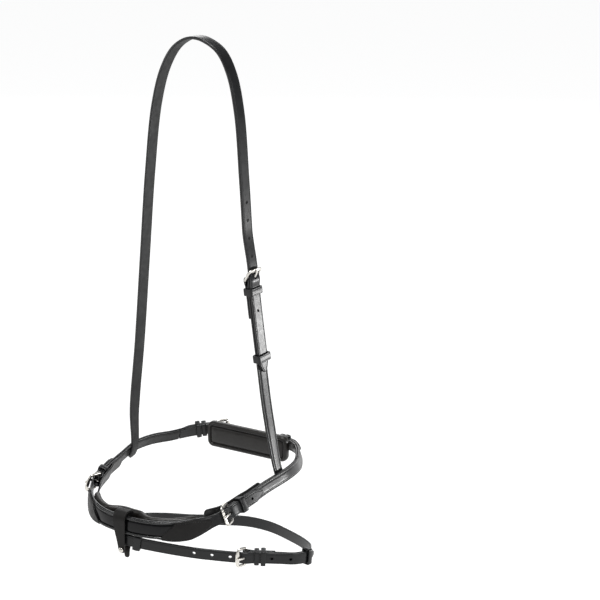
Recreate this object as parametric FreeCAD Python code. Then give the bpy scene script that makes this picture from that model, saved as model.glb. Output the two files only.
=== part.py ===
import FreeCAD, Part
import math
import os

# Black leather combined noseband with flash strap and headstrap, millimetres.
# Origin: underside of the crown strap at the poll. +X is the horse's left (near) side,
# -Y points to the nose and +Z is up.

V = FreeCAD.Vector

# ---------------------------------------------------------------- driving sizes
PLY = 2.4                 # thickness of one ply of bridle leather
GAP = 0.15                # air between plies that are sewn together
BILLET_EASE = 0.2         # extra air under a billet that lies over its own strap
CROWN_DROP = 485.5        # from the poll down to the plane of the noseband
CROWN_WIDTH = 14.0
CROWN_THICK = 3.0
CHEEK_WIDTH = 15.0
SIDE_WIDTH = 13.0
FLASH_WIDTH = 12.5
FLASH_PLY = 2.2
HOLE_SPACING = 19.0
HOLE_RADIUS = 1.7
NEAR, OFF = 1, -1

# Right half of the noseband, front centre to back centre: (x, y, height over its plane)
RING_HALF = [
    (0, -154, 0), (22, -152, 0), (38, -147, 0), (57, -135, 0.5), (72, -117, 2),
    (83, -95, 5), (91, -65, 6.5), (96, -30, 7), (100, 4, 7), (97, 35, 4),
    (88, 62, 0), (74.5, 84.5, 0), (57, 99.5, 1.5), (30, 105.5, 1.5), (0, 106.5, 1.5),
]
# How far the near side stands in from that half and above it: (x, height) by point
NEAR_SHIFT = {5: (0, 1.0), 6: (0, 4.0), 7: (0, 6.5), 8: (0, 7.0), 9: (-1.5, 6.0),
              10: (-3.0, 4.0), 11: (-2.0, 3.5), 12: (0, 1.0)}

# Halves of the headstrap arch, noseband to poll: (half width, y, height over the noseband)
ARCH_NEAR = [
    (97.6, 1, 6.5), (92.7, 0.3, 19.8), (85, 0, 58), (79, -2.5, 100), (74.5, -5, 146),
    (65, -8, 243), (58.5, -7, 341), (51.5, -4, 414), (41.8, -2, 453), (28, 0, 475),
    (11, 0, 485),
]
ARCH_OFF = [
    (96.7, -8, -0.4), (91.8, -8.3, 12.9), (90.5, -8, 58), (79.5, -8, 146), (69, -8, 243),
    (59, -7, 341), (50, -4, 414), (39, -2, 453), (26, 0, 475), (11, 0, 485),
]
ARCH_TOP = 487.0
ARCH_TURN = 11.0          # how far the headstrap faces forward, in degrees
ARCH_FOOT = {1: 1.5, -1: -4.0}    # the same where it joins the noseband

# The flash strap's loop, from the hanger along the near side and back: (x, y, height)
FLASH_LOOP = [
    (-5, -156.5, -17.5), (10, -152, -20), (38, -142, -24), (65, -132, -27), (84, -125, -28),
    (99, -116, -29), (112, -108, -30), (127, -98.8, -31), (144.5, -88.5, -32), (156.5, -79, -34),
    (162.5, -66, -36), (161, -52, -37), (150, -42, -38), (123, -28, -40), (92, -18, -41),
    (64, -18, -41.5), (38, -28, -41.5), (8, -43, -41.5), (-17, -56, -40), (-30, -72, -36),
    (-30, -90, -29.5), (-26, -106, -24), (-21, -126, -20), (-18, -141, -19.2),
    (-15.5, -150.5, -19), (-11, -155.5, -18.4),
]

# Stations along the half noseband, from the front centre
SEAM = 39.0               # end of the glossy front panel
PANEL_END = 90.0          # end of the matte end panel
SAFE_START, SAFE_END = 87.0, 172.0
FRONT_BAR = 115.0         # heel bar of the front buckle
FRONT_KEEPER = 131.5
FRONT_TIP = 164.0         # point of the nosepiece billet
REAR_TIP = 283.0          # point of the jaw strap billet
REAR_SLIDER = 306.5
REAR_KEEPER = 313.5
REAR_BAR = 328.0
REAR_SHIFT = {1: 26.0, -1: 0.0}   # the near rear buckle sits further back

# Heights over the noseband's plane, on the near side of the arch
CHEEK_BAR_Z = 238.0
CROWN_TIP_Z = 135.0
CHEEK_KEEPER_Z = 225.5
CHEEK_SLIDER_Z = 151.0
CROWN_HOLES_Z = [321, 302, 283, 264, 204]

# Stations along the flash loop
FLASH_BAR = 130.5
FLASH_TIP = 206.0
FLASH_KEEPER = 141.5
FLASH_SLIDER = 148.5
FLASH_TIP_LOOP = 196.0
FLASH_RUNNER = 15.0

HANGER_THICK = 2.0
HANGER_BACK = -8.8        # offset of the hanger's rear leg behind the nosepiece
HANGER_SCREW_Z = -27.3
NOSE_PAD_THICK = 8.5
NOSE_PAD_DIP = 11.3       # how far the hanger pushes the nose pad in

JAW_FACE_Y = 84.5         # inner face of the jaw pad

# Buckles: half width and length between bar centres, wire radius, tilt of the frame
SIDE_BUCKLE = {"half": 9.8, "length": 14.5, "wire": 1.6, "tilt": 30}
CHEEK_BUCKLE = {"half": 9.4, "length": 13.0, "wire": 1.5, "tilt": 33}
FLASH_BUCKLE = {"half": 9.6, "length": 11.0, "wire": 1.5, "tilt": 33}
TONGUE_RADIUS = 1.15
TONGUE_PLAY = 0.05


# ---------------------------------------------------------------- routes
def unit(v):
    return v * (1.0 / v.Length)


def smoothstep(a, b, x):
    t = min(1.0, max(0.0, (x - a) / (b - a)))
    return t * t * (3 - 2 * t)


def spline(points, closed, parts=24):
    """Centripetal Catmull-Rom curve through the points, as a fine polyline."""
    n = len(points)
    if closed:
        at = lambda i: points[i % n]
    else:
        first = points[0] * 2 - points[1]
        last = points[-1] * 2 - points[-2]
        at = lambda i: first if i < 0 else last if i >= n else points[i]
    line = []
    for i in range(n if closed else n - 1):
        p = [at(i - 1), at(i), at(i + 1), at(i + 2)]
        t = [0.0]
        for a, b in zip(p, p[1:]):
            t.append(t[-1] + math.sqrt((b - a).Length))
        for k in range(parts):
            x = t[1] + (t[2] - t[1]) * k / parts
            a = [p[j] * ((t[j + 1] - x) / (t[j + 1] - t[j]))
                 + p[j + 1] * ((x - t[j]) / (t[j + 1] - t[j])) for j in range(3)]
            b = [a[j] * ((t[j + 2] - x) / (t[j + 2] - t[j]))
                 + a[j + 1] * ((x - t[j]) / (t[j + 2] - t[j])) for j in range(2)]
            line.append(b[0] * ((t[2] - x) / (t[2] - t[1])) + b[1] * ((x - t[1]) / (t[2] - t[1])))
    line.append(points[0] if closed else points[-1])
    return line


class Route:
    """A strap's centreline: s runs along it, n out of the strap's face, w across it."""

    def __init__(self, points, closed, across):
        self.line = spline(points, closed)
        self.closed = closed
        self.across = across
        self.sums = [0.0]
        for a, b in zip(self.line, self.line[1:]):
            self.sums.append(self.sums[-1] + (b - a).Length)
        self.length = self.sums[-1]

    def pos(self, s):
        if self.closed:
            s = s % self.length
        s = min(max(s, 0.0), self.length)
        low, high = 0, len(self.sums) - 1
        while high - low > 1:
            mid = (low + high) // 2
            if self.sums[mid] > s:
                high = mid
            else:
                low = mid
        f = (s - self.sums[low]) / (self.sums[high] - self.sums[low])
        return self.line[low] * (1 - f) + self.line[high] * f

    def frame(self, s):
        """Tangent, across and outward unit vectors."""
        ahead, behind = self.pos(s + 2), self.pos(s - 2)
        along = unit(ahead - behind)
        ref = self.across(s, along)
        width = unit(ref - along * along.dot(ref))
        return along, width, along.cross(width)

    def at(self, s, n=0.0, w=0.0):
        along, width, out = self.frame(s)
        return self.pos(s) + out * n + width * w

    def station_at_height(self, z, start, stop):
        """Station between two others where the route passes a height."""
        s = start
        step = 0.25 if stop > start else -0.25
        best = s
        while (stop - s) * step > 0:
            if abs(self.pos(s).z - z) < abs(self.pos(best).z - z):
                best = s
            s += step
        return best


def ring_points():
    near, off = [], []
    for i, (x, y, z) in enumerate(RING_HALF):
        dx, dz = NEAR_SHIFT.get(i, (0, 0))
        near.append(V(x + dx, y, z + dz - CROWN_DROP))
        off.append(V(-x, y, z - CROWN_DROP))
    return near + off[-2:0:-1]


def half_station(s):
    """Distance from the front centre, on either side."""
    s = s % ring.length
    return min(s, ring.length - s)


def ring_lean(s):
    """How far the top edge leans in, in degrees."""
    h = half_station(s)
    return 4 + 16 * smoothstep(55, 115, h) * (1 - smoothstep(270, 335, h))


def ring_across(s, along):
    out = unit(along.cross(V(0, 0, 1)))
    a = math.radians(ring_lean(s))
    return V(0, 0, 1) * math.cos(a) - out * math.sin(a)


def side_station(side, s):
    return s if side == NEAR else ring.length - s


def arch_across(s, along):
    p = arch.pos(s)
    foot = ARCH_FOOT[NEAR if p.x > 0 else OFF]
    a = math.radians(foot + (ARCH_TURN - foot) * smoothstep(18, 75, p.z + CROWN_DROP))
    return V(math.sin(a), math.cos(a), 0)


ring = Route(ring_points(), True, ring_across)
arch_points = [V(-x, y, z - CROWN_DROP) for x, y, z in ARCH_OFF]
arch_points.append(V(0, 0, ARCH_TOP - CROWN_DROP))
arch_points += [V(x, y, z - CROWN_DROP) for x, y, z in ARCH_NEAR[::-1]]
arch = Route(arch_points, False, arch_across)
flash = Route([V(x, y, z - CROWN_DROP) for x, y, z in FLASH_LOOP], True,
              lambda s, along: V(0, 0, 1))


# ---------------------------------------------------------------- solids
def ribbon(route, path, low, high, thick):
    """Loft a strap along (station, offset) points; low and high are its edges."""
    edge = lambda value, s: value(s) if callable(value) else value
    centres = [route.at(s, n) for s, n in path]
    wires = []
    for i, (s, n) in enumerate(path):
        behind = centres[max(i - 1, 0)]
        ahead = centres[min(i + 1, len(path) - 1)]
        along = unit(ahead - behind)
        width = route.frame(s)[1]
        width = unit(width - along * along.dot(width))
        out = along.cross(width) * (thick / 2.0)
        bottom, top = width * edge(low, s), width * edge(high, s)
        c = centres[i]
        corners = [c + out + bottom, c + out + top, c - out + top, c - out + bottom]
        wires.append(Part.makePolygon(corners + corners[:1]))
    return Part.makeLoft(wires, True, True)


def run(s0, s1, n0, n1=None, step=9.0):
    """Points from one station to another, easing from offset n0 to n1."""
    n1 = n0 if n1 is None else n1
    count = max(2, int(round(abs(s1 - s0) / step)))
    points = []
    for k in range(count + 1):
        f = k / count
        points.append((s0 + (s1 - s0) * f, n0 + (n1 - n0) * smoothstep(0, 1, f)))
    return points


def fold(s, radius, heading):
    """Half turn round a bar at station s, from the inner face to the outer one."""
    points = []
    for k in range(1, 8):
        a = math.pi * k / 8
        points.append((s + heading * radius * math.sin(a), -radius * math.cos(a)))
    return points


def pointed(tip, heading, half, reach=13.0):
    """Half width that narrows to a blunt point at the tip's station."""
    def width(s):
        left = max(0.0, (tip - s) * heading)
        return half * min(1.0, 0.16 + 0.84 * math.sqrt(max(0.0, min(1.0, left / reach))))
    return width


def tip_run(s0, tip, n, half_reach=13.0):
    """Stations that close up towards a pointed tip."""
    heading = 1 if tip > s0 else -1
    start = tip - heading * half_reach
    return run(s0, start, n) + [(tip - heading * d, n) for d in (9.5, 6.5, 4, 2, 0.7, 0)]


def seat(shape, route, s, n, heading):
    """Place a shape made on x along the strap, y across, z out of its face."""
    along, width, out = route.frame(s)
    x = along * heading
    y = out.cross(x)
    c = route.at(s, n)
    m = FreeCAD.Matrix(x.x, y.x, out.x, c.x, x.y, y.y, out.y, c.y,
                       x.z, y.z, out.z, c.z, 0, 0, 0, 1)
    moved = shape.copy()
    moved.Placement = FreeCAD.Placement(m).multiply(shape.Placement)
    return moved


def largest(shape):
    """The one solid of a cut strap, without loose punchings."""
    return max(shape.Solids, key=lambda solid: solid.Volume)


def rod(a, b, radius):
    return Part.makeCylinder(radius, (b - a).Length, a, b - a)


def box(x0, x1, y0, y1, z0, z1):
    return Part.makeBox(x1 - x0, y1 - y0, z1 - z0, V(x0, y0, z0))


def keeper(width, low, high, length, wall=1.5, round_by=1.4):
    """A leather loop round a stack of straps that reaches from low to high."""
    w = width / 2.0 + wall
    outer = box(-length / 2, length / 2, -w, w, low - wall, high + wall)
    outer = outer.makeFillet(round_by, [e for e in outer.Edges if abs(e.tangentAt(0).x) > 0.9])
    inner = box(-length, length, -width / 2.0, width / 2.0, low, high)
    return outer.cut(inner)


def buckle_frame(size):
    """Four round bars with curved corners, tilted up from the heel bar."""
    half, length, wire = size["half"], size["length"], size["wire"]
    corner = 2.6
    parts = []
    for x in (0, length):
        parts.append(rod(V(x, -half + corner, 0), V(x, half - corner, 0), wire))
    for y in (-half, half):
        parts.append(rod(V(corner, y, 0), V(length - corner, y, 0), wire))
    turns = [(corner, half - corner, 90), (corner, corner - half, 180),
             (length - corner, corner - half, 270), (length - corner, half - corner, 0)]
    for x, y, angle in turns:
        arc = Part.makeTorus(corner, wire, V(0, 0, 0), V(0, 0, 1), 0, 360, 90)
        arc.rotate(V(0, 0, 0), V(0, 0, 1), angle)
        arc.translate(V(x, y, 0))
        parts.append(arc)
    frame = parts[0].multiFuse(parts[1:])
    frame.rotate(V(0, 0, 0), V(0, 1, 0), -size["tilt"])
    return frame


def buckle_tongue(size):
    """A sleeve on the heel bar and a pin that rests on the toe bar."""
    wire, tilt = size["wire"], math.radians(size["tilt"])
    along, normal = V(math.cos(tilt), 0, math.sin(tilt)), V(-math.sin(tilt), 0, math.cos(tilt))
    sleeve = rod(V(0, -1.4, 0), V(0, 1.4, 0), wire + 1.15)
    toe = along * size["length"] + normal * (wire + TONGUE_RADIUS + TONGUE_PLAY)
    root = normal * (wire + 0.5) + along * 0.6
    tip = toe + along * 2.4 - normal * 0.2
    pin = rod(root, toe, TONGUE_RADIUS).fuse(Part.makeSphere(TONGUE_RADIUS, toe))
    pin = pin.fuse(rod(toe, tip, TONGUE_RADIUS)).fuse(Part.makeSphere(TONGUE_RADIUS, tip))
    return sleeve.fuse(pin).cut(rod(V(0, -4, 0), V(0, 4, 0), wire + TONGUE_PLAY))


def slot_cutter(size, low, high):
    """Oval punched hole that lets the tongue through from just behind the bar."""
    return box(-4.2, size["length"] * 0.78, -1.9, 1.9, low, high)


def punch(shape, route, s, n, reach=4.0):
    hole = Part.makeCylinder(HOLE_RADIUS, reach * 2, V(0, 0, -reach))
    return shape.cut(seat(hole, route, s, n, 1))


def save(name, shape):
    solids = shape.Solids
    print(name, "solids", len(solids), "volume %.0f" % shape.Volume, "valid", shape.isValid())
    shape.exportStep("parts/%s.step" % name)


# ---------------------------------------------------------------- offsets in a buckle
def billet_offsets(ply, wire):
    """Offsets of the bar fold, the plies behind it and the billet over them."""
    leg = wire + 0.15 + ply / 2.0
    flat = ply / 2.0 + GAP / 2.0
    over = leg + ply + GAP
    lie = flat + ply + GAP
    return leg, flat, over, lie


def chape(s_bar, heading, leg, flat, inner_end, outer_end):
    """Path of a ply that returns inside, turns round the bar and runs back outside."""
    close = s_bar - heading * 9.0
    inner = run(inner_end, close, -flat) + run(close, s_bar - heading * 0.4, -flat, -leg, 2.2)[1:]
    turn = fold(s_bar, leg, heading)
    outer = run(s_bar - heading * 0.4, close, leg, flat, 2.2) + run(close, outer_end, flat)[1:]
    return inner + turn + outer


# ---------------------------------------------------------------- noseband
def nose_low(s):
    h = half_station(s)
    bulge = smoothstep(24, 55, h) * (1 - smoothstep(60, 92, h))
    return -9.5 - 3.5 * bulge + 3.1 * smoothstep(66, 98, h)


def nose_high(s):
    return 9.5 - 3.1 * smoothstep(66, 98, half_station(s))


def billet_edge(low_or_high, tips, half):
    """Edge of a strap that ends in a point at one or both of the stations."""
    first = pointed(tips[0], -1, half)
    second = pointed(tips[1], 1, half)

    def edge(s):
        limit = min(first(s), second(s))
        value = low_or_high(s)
        return max(-limit, value) if value < 0 and limit < half else (
            min(limit, value) if value > 0 and limit < half else value)
    return edge


LEG, FLAT, OVER, LIE = billet_offsets(PLY, SIDE_BUCKLE["wire"])
BAND_N = 1.8              # offset of the front leather of the nosepiece


def billet_rise(bar, tip, start, n_start, heading):
    """Path of a billet from the strap's body, under the toe bar, over the heel bar, to its tip."""
    toe = bar - heading * SIDE_BUCKLE["length"] * 0.87
    path = run(start, toe, n_start, OVER - 1.7)
    path += run(toe, bar, OVER - 1.7, OVER, 3.5)[1:]
    path += run(bar, bar + heading * 9.0, OVER, LIE, 3.0)[1:]
    path += tip_run(bar + heading * 9.0, tip, LIE)[1:]
    return path


def build_nosepiece():
    near_half = billet_rise(FRONT_BAR, FRONT_TIP, PANEL_END, BAND_N, 1)
    off_half = [(-s, n) for s, n in reversed(near_half)]
    path = off_half + run(off_half[-1][0], near_half[0][0], BAND_N)[1:-1] + near_half
    low = billet_edge(nose_low, (-FRONT_TIP, FRONT_TIP), 6.4)
    high = billet_edge(nose_high, (-FRONT_TIP, FRONT_TIP), 6.4)
    band = ribbon(ring, path, low, high, PLY)
    for side in (NEAR, OFF):
        slot = slot_cutter(SIDE_BUCKLE, 0, 14)
        band = band.cut(seat(slot, ring, side_station(side, FRONT_BAR), 0, -side))
        band = punch(band, ring, side_station(side, 86), BAND_N)
        band = punch(band, ring, side_station(side, FRONT_BAR + HOLE_SPACING * 1.6), LIE, 1.6)
    save("nose_band", band)

    face = BAND_N + PLY / 2.0 + GAP
    panel = run(-SEAM + 1.5, SEAM - 1.5, face + 0.6)
    save("nose_panel", ribbon(ring, panel, -6.3, 6.3, 1.2))
    for name, low, high in (("nose_edging_top", 6.6, 9.4), ("nose_edging_bottom", -9.4, -6.6)):
        save(name, ribbon(ring, run(-SEAM + 1.5, SEAM - 1.5, face + 1.1), low, high, 2.2))
    for side, name in ((NEAR, "near"), (OFF, "off")):
        s0, s1 = side * (SEAM - 0.7), side * PANEL_END
        path = run(s0, s1, face + 0.8)
        shrink = lambda s, e: e(s) * (1 - 0.32 * smoothstep(66, PANEL_END, half_station(s)))
        low = lambda s: shrink(s, nose_low) + 0.3
        high = lambda s: shrink(s, nose_high) - 0.3
        save("nose_end_panel_" + name, ribbon(ring, path, low, high, 1.6))

    inner = BAND_N - PLY / 2.0
    push = lambda s: NOSE_PAD_DIP * (1 - smoothstep(10, 31, abs(s + 7)))
    path = [(s, inner - NOSE_PAD_THICK / 2 - 0.2 - push(s)) for s in [-80 + 5 * k for k in range(33)]]
    save("nose_pad", ribbon(ring, path, -10.5, 12.0, NOSE_PAD_THICK))


def build_side(side, name):
    """Side strap with a buckle at each end, its lining, safe and keepers."""
    st = lambda s: side_station(side, s)
    place = lambda shape, s, n, heading: seat(shape, ring, st(s), n, heading * side)
    half = SIDE_WIDTH / 2.0
    shift = REAR_SHIFT[side]
    rear_bar = REAR_BAR + shift

    front = chape(FRONT_BAR, -1, LEG, FLAT, FRONT_BAR + 46, 200)
    rear = chape(rear_bar, 1, LEG, FLAT, rear_bar - 46, 200)
    path = front + [p for p in reversed(rear)][1:]
    path = [(st(s), n) for s, n in path]
    strap = ribbon(ring, path, -half, half, PLY)
    for bar, heading in ((FRONT_BAR, -1), (rear_bar, 1)):
        strap = strap.cut(place(slot_cutter(SIDE_BUCKLE, -5.5, 6.5), bar, 0, heading))
    save(name + "_side_strap", strap)

    lining = [(st(s), n) for s, n in run(FRONT_BAR + 47.5, rear_bar - 47.5, -FLAT)]
    save(name + "_side_lining", ribbon(ring, lining, -half, half, PLY))

    under = LEG + PLY / 2.0 + GAP + 0.9
    rest = FLAT + PLY / 2.0 + GAP + 0.9
    behind = rest + 1.9
    safe = run(SAFE_START, FRONT_BAR + 3, -under, step=7)
    safe += run(FRONT_BAR + 3, FRONT_BAR + 12, -under, -behind, 5)[1:]
    safe += run(FRONT_BAR + 12, FRONT_KEEPER + 6, -behind, step=5)[1:]
    safe += run(FRONT_KEEPER + 6, FRONT_KEEPER + 18, -behind, -rest, 4)[1:]
    safe += run(FRONT_KEEPER + 18, SAFE_END, -rest)[1:]
    rise = lambda s: 3.5 * (1 - smoothstep(SAFE_START, FRONT_BAR, half_station(s)))
    safe = [(st(s), n) for s, n in safe]
    spread = lambda s: 9.0 - 0.3 * smoothstep(FRONT_BAR, FRONT_BAR + 9, half_station(s))
    save(name + "_buckle_safe",
         ribbon(ring, safe, lambda s: rise(s) - spread(s), lambda s: rise(s) + spread(s), 1.8))

    loop = keeper(SIDE_WIDTH + 0.8, -(FLAT + PLY / 2.0 + 0.35), LIE + PLY / 2.0 + 0.35, 7.0)
    save(name + "_front_keeper", place(loop, FRONT_KEEPER, 0, -1))
    loop = keeper(SIDE_WIDTH + 0.8, -(FLAT + PLY / 2.0 + 0.35), LIE + PLY / 2.0 + 0.35, 5.5)
    save(name + "_rear_keeper", place(loop, REAR_KEEPER + shift, 0, 1))
    loop = keeper(SIDE_WIDTH + 1.8, -(FLAT + PLY / 2.0 + 0.85), LIE + PLY / 2.0 + 0.85, 5.5)
    save(name + "_rear_sliding_keeper", place(loop, REAR_SLIDER + shift, 0, 1))

    for where, bar, heading in (("front", FRONT_BAR, -1), ("rear", rear_bar, 1)):
        save("%s_%s_buckle_frame" % (name, where), place(buckle_frame(SIDE_BUCKLE), bar, 0, heading))
        save("%s_%s_buckle_tongue" % (name, where), place(buckle_tongue(SIDE_BUCKLE), bar, 0, heading))


def build_jaw():
    """Jaw strap behind the straight jaw pad, with a billet at each end."""
    middle = -3.6
    half = 6.2
    bars = {side: REAR_BAR + REAR_SHIFT[side] for side in (NEAR, OFF)}
    tips = {side: REAR_TIP + REAR_SHIFT[side] for side in (NEAR, OFF)}
    near_half = billet_rise(bars[NEAR], tips[NEAR], bars[NEAR] + 27, middle, -1)
    off_half = billet_rise(bars[OFF], tips[OFF], bars[OFF] + 27, middle, -1)
    off_half = [(ring.length - s, n) for s, n in off_half]
    centre = run(near_half[0][0], off_half[0][0], middle)[1:-1]
    path = list(reversed(near_half)) + centre + off_half
    near_edge = pointed(tips[NEAR], -1, half)
    off_edge = pointed(ring.length - tips[OFF], 1, half)
    edge = lambda s: min(near_edge(s), off_edge(s))
    strap = ribbon(ring, path, lambda s: -edge(s), edge, PLY)
    for side in (NEAR, OFF):
        slot = slot_cutter(SIDE_BUCKLE, 0, 14)
        strap = strap.cut(seat(slot, ring, side_station(side, bars[side]), 0, side))
        strap = punch(strap, ring, side_station(side, tips[side] + 13.5), LIE, 1.6)
    save("jaw_strap", strap)

    pad = box(-52.5, 56.0, JAW_FACE_Y, JAW_FACE_Y + 10, -14.5 - CROWN_DROP, 17.5 - CROWN_DROP)
    pad = pad.makeFillet(8.0, [e for e in pad.Edges if abs(e.tangentAt(0).y) > 0.9])
    pad = pad.makeFillet(3.0, [e for e in pad.Edges if e.BoundBox.YMax < JAW_FACE_Y + 0.1])
    save("jaw_pad", pad)
    for x, name in ((-6, "near"), (-19, "off")):
        outer = box(x - 5, x + 5, JAW_FACE_Y + 10.2, 107.0, -7.3 - CROWN_DROP, 10.3 - CROWN_DROP)
        inner = box(x - 9, x + 9, 99.2, 105.5, -5.7 - CROWN_DROP, 8.7 - CROWN_DROP)
        save("jaw_pad_loop_" + name, outer.cut(inner))


# ---------------------------------------------------------------- headstrap
def build_headstrap():
    top = arch.length / 2.0
    station = lambda z: arch.station_at_height(z - CROWN_DROP, arch.length, top)
    bar, tip = station(CHEEK_BAR_Z), station(CROWN_TIP_Z)
    leg, flat, over, lie = billet_offsets(CROWN_THICK - 0.4, CHEEK_BUCKLE["wire"])
    over += BILLET_EASE
    lie += BILLET_EASE
    half = CROWN_WIDTH / 2.0
    toe = bar - CHEEK_BUCKLE["length"] * 0.84

    path = run(0.0, toe - 45, 0) + run(toe - 45, toe, 0, over - 2.0)[1:]
    path += run(toe, bar, over - 2.0, over, 3.2)[1:] + run(bar, bar + 9, over, lie, 3)[1:]
    path += tip_run(bar + 9, tip, lie)[1:]
    edge = pointed(tip, 1, half, 12.0)
    strap = ribbon(arch, path, lambda s: -edge(s), edge, CROWN_THICK)
    strap = strap.cut(seat(slot_cutter(CHEEK_BUCKLE, 0, 14), arch, bar, 0, -1))
    for z in CROWN_HOLES_Z:
        strap = punch(strap, arch, station(z), 0 if z > CHEEK_BAR_Z + 25 else lie,
                      12.0 if z > CHEEK_BAR_Z + 25 else 1.8)
    save("crown_strap", strap)

    ply = CROWN_THICK - 0.4
    path = chape(bar, -1, leg, flat, bar + 42, tip)
    last = arch.length
    path += run(tip, last - 24, flat, 0)[1:] + run(last - 24, last, 0)[1:]
    half = CHEEK_WIDTH / 2.0
    cheek = ribbon(arch, path, -half, half, ply)
    cheek = cheek.cut(seat(slot_cutter(CHEEK_BUCKLE, -5.5, 6.5), arch, bar, 0, -1))
    save("cheek_strap", cheek)

    save("cheek_buckle_frame", seat(buckle_frame(CHEEK_BUCKLE), arch, bar, 0, -1))
    save("cheek_buckle_tongue", seat(buckle_tongue(CHEEK_BUCKLE), arch, bar, 0, -1))
    low = flat + ply / 2.0
    high = lie + CROWN_THICK / 2.0
    loop = keeper(CHEEK_WIDTH + 0.8, -low - 0.35, high + 0.35, 8.0)
    save("cheek_fixed_keeper", seat(loop, arch, station(CHEEK_KEEPER_Z), 0, 1))
    s = station(CHEEK_SLIDER_Z)
    loop = keeper(CHEEK_WIDTH + 1.6, flat - ply / 2.0 - 0.9, high + 0.75, 8.5)
    save("cheek_sliding_keeper", seat(loop, arch, s, 0, 1))


# ---------------------------------------------------------------- flash
def build_flash():
    leg, flat, over, lie = billet_offsets(FLASH_PLY, FLASH_BUCKLE["wire"])
    over += BILLET_EASE
    lie += BILLET_EASE
    half = FLASH_WIDTH / 2.0
    around = flash.length
    bar, tip = FLASH_BAR + around, FLASH_TIP + around
    toe = bar - FLASH_BUCKLE["length"] * 0.84

    path = chape(FLASH_BAR, -1, leg, flat, FLASH_BAR + 30, FLASH_BAR + 52)
    path += run(FLASH_BAR + 52, FLASH_BAR + 90, flat, 0)[1:]
    path += run(FLASH_BAR + 90, toe - 30, 0)[1:]
    path += run(toe - 30, toe, 0, over - 1.9, 6)[1:]
    path += run(toe, bar, over - 1.9, over, 3)[1:] + run(bar, bar + 9, over, lie, 3)[1:]
    path += tip_run(bar + 9, tip, lie, 10.0)[1:]
    edge = pointed(tip, 1, half, 10.0)
    strap = ribbon(flash, path, lambda s: -edge(s), edge, FLASH_PLY)
    slot = slot_cutter(FLASH_BUCKLE, -5.2, 14)
    strap = largest(strap.cut(seat(slot, flash, FLASH_BAR, 0, -1)))
    for k in (-2, -1, 0):
        strap = punch(strap, flash, FLASH_BAR - 16.5 + HOLE_SPACING * k, 0, 5.0)
    for k in (1, 2):
        strap = punch(strap, flash, FLASH_BAR + 8 + HOLE_SPACING * k, lie, 1.5)
    save("flash_strap", strap)
    print("flash loop", round(around), "strap", round(around + FLASH_TIP - FLASH_BAR + 30))

    save("flash_buckle_frame", seat(buckle_frame(FLASH_BUCKLE), flash, FLASH_BAR, 0, -1))
    save("flash_buckle_tongue", seat(buckle_tongue(FLASH_BUCKLE), flash, FLASH_BAR, 0, -1))
    low, high = -(flat + FLASH_PLY / 2.0), lie + FLASH_PLY / 2.0
    loop = keeper(FLASH_WIDTH + 0.8, low - 0.35, high + 0.35, 5.0)
    save("flash_fixed_keeper", seat(loop, flash, FLASH_KEEPER, 0, 1))
    loop = keeper(FLASH_WIDTH + 1.6, low - 0.75, high + 0.75, 5.0)
    save("flash_sliding_keeper", seat(loop, flash, FLASH_SLIDER, 0, 1))
    loop = keeper(FLASH_WIDTH + 2.2, flat - FLASH_PLY / 2.0 - 1.6, high + 1.0, 5.5)
    save("flash_tip_keeper", seat(loop, flash, FLASH_TIP_LOOP, 0, 1))
    reach = FLASH_PLY / 2.0 + 1.4
    loop = keeper(FLASH_WIDTH + 1.4, -reach, reach, 8.0)
    save("flash_hanger_keeper", seat(loop, flash, FLASH_RUNNER, 0, 1))


def build_hanger():
    """Leather loop over the nosepiece that carries the flash strap, and its screw."""
    y0 = ring.pos(ring.length - 6).y
    out = BAND_N + PLY / 2.0 + 2 * GAP + 2.2 + HANGER_THICK / 2.0 + 0.9
    front = [(out - 0.4, -31), (out - 0.1, -26), (out, -12), (out, 0), (out - 0.4, 8),
             (out - 2.6, 12.2), (1.4, 13.6)]
    rear = [(-4.5, 13.2), (HANGER_BACK + 0.8, 11.2), (HANGER_BACK, 7), (HANGER_BACK, -2),
            (HANGER_BACK + 0.6, -11), (-5, -19), (-1.8, -24), (0.2, -28), (1.4, -32), (1.6, -38)]
    guide = spline([V(0, y0 - n, z - CROWN_DROP) for n, z in front + rear], False, 6)
    split = 6 * len(front)
    wires = []
    for i, p in enumerate(guide):
        along = unit(guide[min(i + 1, len(guide) - 1)] - guide[max(i - 1, 0)])
        side = along.cross(V(1, 0, 0)) * (HANGER_THICK / 2.0)
        height = p.z + CROWN_DROP
        if i < split:
            spread = smoothstep(-30, 6, height)
            x, half = -5 - 2 * spread, 4.0 + 3.5 * spread
        else:
            spread = smoothstep(-30, 2, height)
            x, half = -2.5 - 4.5 * spread, 3.2 + 4.3 * spread
        left, right = V(x - half, 0, 0), V(x + half, 0, 0)
        corners = [p + side + left, p + side + right, p - side + right, p - side + left]
        wires.append(Part.makePolygon(corners + corners[:1]))
    leather = Part.makeLoft(wires, True, True)
    screw = V(-5, y0 - out, HANGER_SCREW_Z - CROWN_DROP)
    leather = leather.cut(rod(screw + V(0, 20, 0), screw - V(0, 20, 0), 1.75))
    save("flash_hanger", leather)
    head = rod(screw - V(0, 1.3, 0), screw - V(0, 2.8, 0), 3.0)
    cap = rod(screw + V(0, 10.4, 0), screw + V(0, 11.8, 0), 3.0)
    shank = rod(screw - V(0, 1.3, 0), screw + V(0, 10.4, 0), 1.5)
    save("flash_hanger_screw", head.fuse(shank).fuse(cap))


os.makedirs("parts", exist_ok=True)
build_nosepiece()
for side, name in ((NEAR, "near"), (OFF, "off")):
    build_side(side, name)
build_jaw()
build_headstrap()
build_flash()
build_hanger()
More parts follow.
